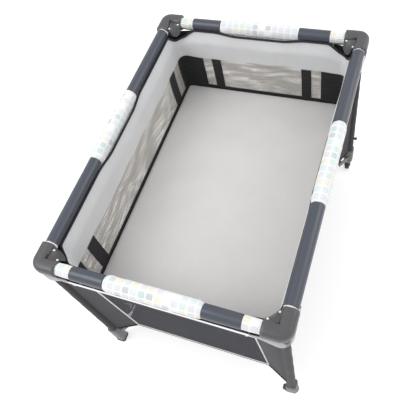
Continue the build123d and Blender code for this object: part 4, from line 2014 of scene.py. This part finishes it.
    def leg_sleeve(self) -> None:
        """Builds the cloth sleeve around the leg."""
        seam_turn = 1.25 * math.pi
        angle = seam_turn + np.linspace(0.0, 2.0 * math.pi, 41)
        heights, turns = np.meshgrid(np.linspace(self.sleeve_low, self.sleeve_high, 48), angle, indexing="ij")
        folds = 0.0006 * np.sin(3.0 * turns + 40.0 * heights) * np.sin(95.0 * heights + 2.0 * turns)
        closing = smoothstep(self.sleeve_low, self.sleeve_low + 0.012, heights)
        radius = self.sleeve_radius - 0.0015 * (1.0 - closing) + folds
        x, y = SIZES.leg_x + radius * np.cos(turns), SIZES.leg_y + radius * np.sin(turns)
        grid = np.stack([x, y, heights], axis=2) * self.corner.mirror
        uvs = np.stack([turns * self.sleeve_radius, heights], axis=2)
        obj = MeshFactory.surface(f"leg_sleeve_{self.corner.label}", grid, uvs)
        dressed(obj, Finishes.charcoal)
        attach(obj, f"leg_{self.corner.label}")
        report(obj)

    def collar(self) -> None:
        """Builds the grey collar around the outside of the corner, deepest at the corner itself."""
        x, y = SIZES.half_width, SIZES.half_length
        radius, reach = self.collar_radius, self.collar_reach
        steps = np.linspace(0.0, 1.0, 14)[:-1]
        first = np.stack([x - reach + (reach - radius) * steps, np.full(len(steps), y)], axis=1)
        last = np.stack([np.full(len(steps), x), (y - reach + (reach - radius) * steps)[::-1]], axis=1)
        path = np.vstack([first, corner_bend(x, y, radius, 18), last])
        share = np.linspace(-1.0, 1.0, len(path))
        ends = np.abs(share)
        inward = 0.001 * smoothstep(0.35, 1.0, ends)
        path[:, 1] -= np.where(share < 0.0, inward, 0.0)
        path[:, 0] -= np.where(share > 0.0, inward, 0.0)
        high = self.collar_high - 0.003 * smoothstep(0.5, 1.0, ends)
        low = self.collar_low + 0.036 * smoothstep(0.1, 1.0, ends)
        rows = []
        for v in np.linspace(0.0, 1.0, 8):
            bulged = path * (1.0 + self.collar_bulge * math.sin(math.pi * v))
            rows.append(np.column_stack([bulged, high + (low - high) * v]))
        grid = np.array(rows) * self.corner.mirror
        lengths = lengths_along(path)
        uvs = np.stack([np.broadcast_to(lengths, grid.shape[:2]), grid[:, :, 2]], axis=2)
        obj = MeshFactory.surface(f"collar_{self.corner.label}", grid, uvs)
        dressed(obj, Finishes.collar)
        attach(obj, f"leg_{self.corner.label}")
        report(obj)

    def build(self) -> None:
        """Builds the quarter."""
        for short in (True, False):
            leg = (SIZES.leg_x if short else SIZES.leg_y) - 0.010
            self.patch("net", short, 0.0, self.seam(short), Finishes.outer_net)
            self.patch("panel", short, self.seam(short), leg, Finishes.charcoal)
            self.edging(short)
        self.leg_sleeve()
        self.collar()


@dataclass
class YardFloorQuarter:
    """A quarter of the yard's cloth floor, carried up by its floor tube as the frame folds."""

    corner: Corner
    height: float = 0.0965
    half_x: float = 0.301
    half_y: float = 0.454
    slot_x: float = 0.033
    slot_y: float = 0.015
    folded_share: float = 0.2

    def build(self) -> None:
        """Builds the quarter and puts it on its floor tube."""
        xs = np.concatenate([[0.0, self.slot_x / 2.0], np.linspace(self.slot_x, self.half_x, 22)])
        ys = np.concatenate([[0.0, self.slot_y / 2.0], np.linspace(self.slot_y, self.half_y, 32)])
        x, y = np.meshgrid(xs, ys)
        z = self.height + 0.0008 * ripple(x, y, 5, 61, 0.12, 0.3)
        points = np.stack([x, y, z], axis=2) * self.corner.mirror
        # The first two rows and columns are the slot that the strap comes up through.
        faces = [face for face in MeshFactory.quads(*z.shape) if max(divmod(face[0], z.shape[1])) > 1]
        uvs = np.stack([x, y], axis=2).reshape(-1, 2)
        obj = MeshFactory.from_faces(f"yard_base_{self.corner.label}", points.reshape(-1, 3), faces, uvs)
        dressed(obj, Finishes.charcoal)
        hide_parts("yard_floor")
        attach(obj, f"floor_tube_{self.corner.label}")
        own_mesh(obj)
        report(obj)


@dataclass
class LiftingStrap:
    """The webbing loop over the hub."""

    radius: float = 0.027
    width: float = 0.022
    thickness: float = 0.0016
    base: float = 0.0905
    stations: int = 36

    def build(self) -> None:
        """Builds the strap and puts it on the hub."""
        angle = np.linspace(0.0, math.pi, self.stations)
        normals = np.column_stack([np.cos(angle), np.zeros(self.stations), np.sin(angle)])
        path = self.radius * normals + np.array([0.0, 0.0, self.base])
        across = np.linspace(-1.0, 1.0, 5) * self.width / 2.0
        sideways = np.concatenate([across, across[::-1]])
        through = np.repeat([-1.0, 1.0], len(across)) * self.thickness / 2.0
        grid = path[:, None] + through[:, None] * normals[:, None]
        grid[:, :, 1] += sideways
        uvs = np.stack(np.broadcast_arrays(sideways, self.radius * angle[:, None]), axis=2)
        rows, count = grid.shape[:2]
        faces = MeshFactory.quads(rows, count, closed=True)
        faces += [tuple(range(count)), tuple(reversed(range((rows - 1) * count, rows * count)))]
        obj = MeshFactory.from_faces("lifting_strap", grid.reshape(-1, 3), faces, uvs.reshape(-1, 2))
        MeshFactory.face_outwards(obj)
        dressed(obj, Finishes.webbing)
        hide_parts("hub_strap")
        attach(obj, "hub")
        report(obj)


# ---------------------------------------------------------------- hard parts and studio


class HardParts:
    """Gives the CAD parts that are shown their finishes."""

    FINISHES: dict[str, Finish] = {
        "leg_tube": Finishes.painted,
        "rail": Finishes.painted,
        "floor_tube": Finishes.painted,
        "bassinet_support_bars": Finishes.steel,
        "latch_button": Finishes.button,
        "latch": Finishes.latch,
        "foot_pad": Finishes.rubber,
        "foot": Finishes.block,
        "caster_bracket": Finishes.block,
        "caster_fork": Finishes.caster,
        "caster_wheel": Finishes.tyre,
        "hub": Finishes.latch,
    }

    def dress(self, nodes: dict[str, Object]) -> None:
        """Dresses every CAD node whose name is known.

        Args:
            nodes: The CAD nodes by name.
        """
        for name, obj in nodes.items():
            prefix = max((p for p in self.FINISHES if name.startswith(p)), key=len, default=None)
            if prefix is not None and obj.type == "MESH":
                dressed(obj, self.FINISHES[prefix])
                LOG.info("hard part %s: %s", name, self.FINISHES[prefix].name)


@dataclass
class LegKnob:
    """The small dark knob on the outside of the far right leg."""

    height: float = 0.197
    radius: float = 0.0065
    reach: float = 0.012
    base: float = 0.014
    beside_leg: float = 0.004

    def build(self) -> None:
        """Builds the knob and puts it on its leg."""
        steps = np.array([0.0, 0.2, 0.75, 0.95, 1.0]) * self.reach
        widths = np.array([0.7, 0.7, 1.0, 0.9, 0.6]) * self.radius
        x, y = SIZES.leg_x + self.base + steps, SIZES.leg_y - self.beside_leg
        path = np.column_stack([x, np.full(5, y), np.full(5, self.height)])
        obj = MeshFactory.sweep("leg_knob", path, widths[:, None, None] * circle(24))
        MeshFactory.face_outwards(obj)
        dressed(obj, Finishes.latch)
        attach(obj, f"leg_{Corner.FAR_RIGHT.label}")
        report(obj)


@dataclass
class Studio:
    """The pale floor, soft lights and the camera."""

    eye: tuple[float, float, float] = (0.48531, -0.81974, 1.91454)
    right: tuple[float, float, float] = (0.92966427, 0.32387297, -0.17558654)
    down: tuple[float, float, float] = (0.19040616, -0.83041808, -0.5235946)
    lens: float = 45.426
    shift: tuple[float, float] = (-0.01385, -0.02305)
    floor_half: float = 8.0
    below: float = 0.0006

    def floor(self) -> None:
        """Builds the floor."""
        corners = ((-1.0, -1.0), (1.0, -1.0), (1.0, 1.0), (-1.0, 1.0))
        points = np.array([[x * self.floor_half, y * self.floor_half, -self.below] for x, y in corners])
        floor = MeshFactory.from_faces("studio_floor", points, [(0, 1, 2, 3)])
        dressed(floor, Finishes.paper)

    def world(self) -> None:
        """Makes the surroundings a soft white."""
        world = bpy.data.worlds.new("Studio")
        world.use_nodes = True
        sky = world.node_tree.nodes["Background"]
        sky.inputs["Color"].default_value = (1.0, 1.0, 1.0, 1.0)
        sky.inputs["Strength"].default_value = 1.0
        bpy.context.scene.world = world

    def lamp(self, name: str, place: tuple[float, float, float], size: float, power: float) -> None:
        """Adds a soft area lamp that faces the yard.

        Args:
            name: The lamp's name.
            place: Where it is.
            size: Its side in metres.
            power: Its power in watts.
        """
        data = bpy.data.lights.new(name, "AREA")
        data.size, data.energy = size, power
        lamp = bpy.data.objects.new(name, data)
        lamp.location = place
        lamp.rotation_euler = (Vector((0.0, 0.0, 0.5)) - Vector(place)).to_track_quat("-Z", "Y").to_euler()
        bpy.context.scene.collection.objects.link(lamp)

    def camera(self) -> None:
        """Places the camera."""
        right, up = Vector(self.right), -Vector(self.down)
        back = right.cross(up)
        data = bpy.data.cameras.new("Camera")
        data.lens, data.sensor_width = self.lens, 36.0
        data.shift_x, data.shift_y = self.shift
        camera = bpy.data.objects.new("Camera", data)
        turn = Matrix((right, up, back)).transposed().to_4x4()
        camera.matrix_world = Matrix.Translation(Vector(self.eye)) @ turn
        bpy.context.scene.collection.objects.link(camera)
        bpy.context.scene.camera = camera

    def build(self) -> None:
        """Builds the studio."""
        self.floor()
        self.world()
        self.lamp("Key", (-1.6, -1.2, 3.2), 1.8, 45.0)
        self.lamp("Fill", (2.4, 1.6, 2.6), 2.2, 30.0)
        self.camera()
        bpy.context.scene.view_settings.view_transform = "Standard"


def main() -> None:
    """Builds the whole picture."""
    logging.basicConfig(level=logging.INFO, format="%(name)s: %(message)s")
    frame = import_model()
    HardParts().dress(frame["nodes"])
    for corner in Corner:
        MouldedCorner(corner).build()
        CoverQuarter(corner).build()
        YardFloorQuarter(corner).build()
    RailPads().build()
    for rail in Rail:
        RailSleeves(rail).build()
        for side in (-1, 1):
            RailCuff(rail, side).build()
    BassinetLining().build()
    Mattress().build()
    LiftingStrap().build()
    LegKnob().build()
    Studio().build()


if __name__ == "__main__":
    main()
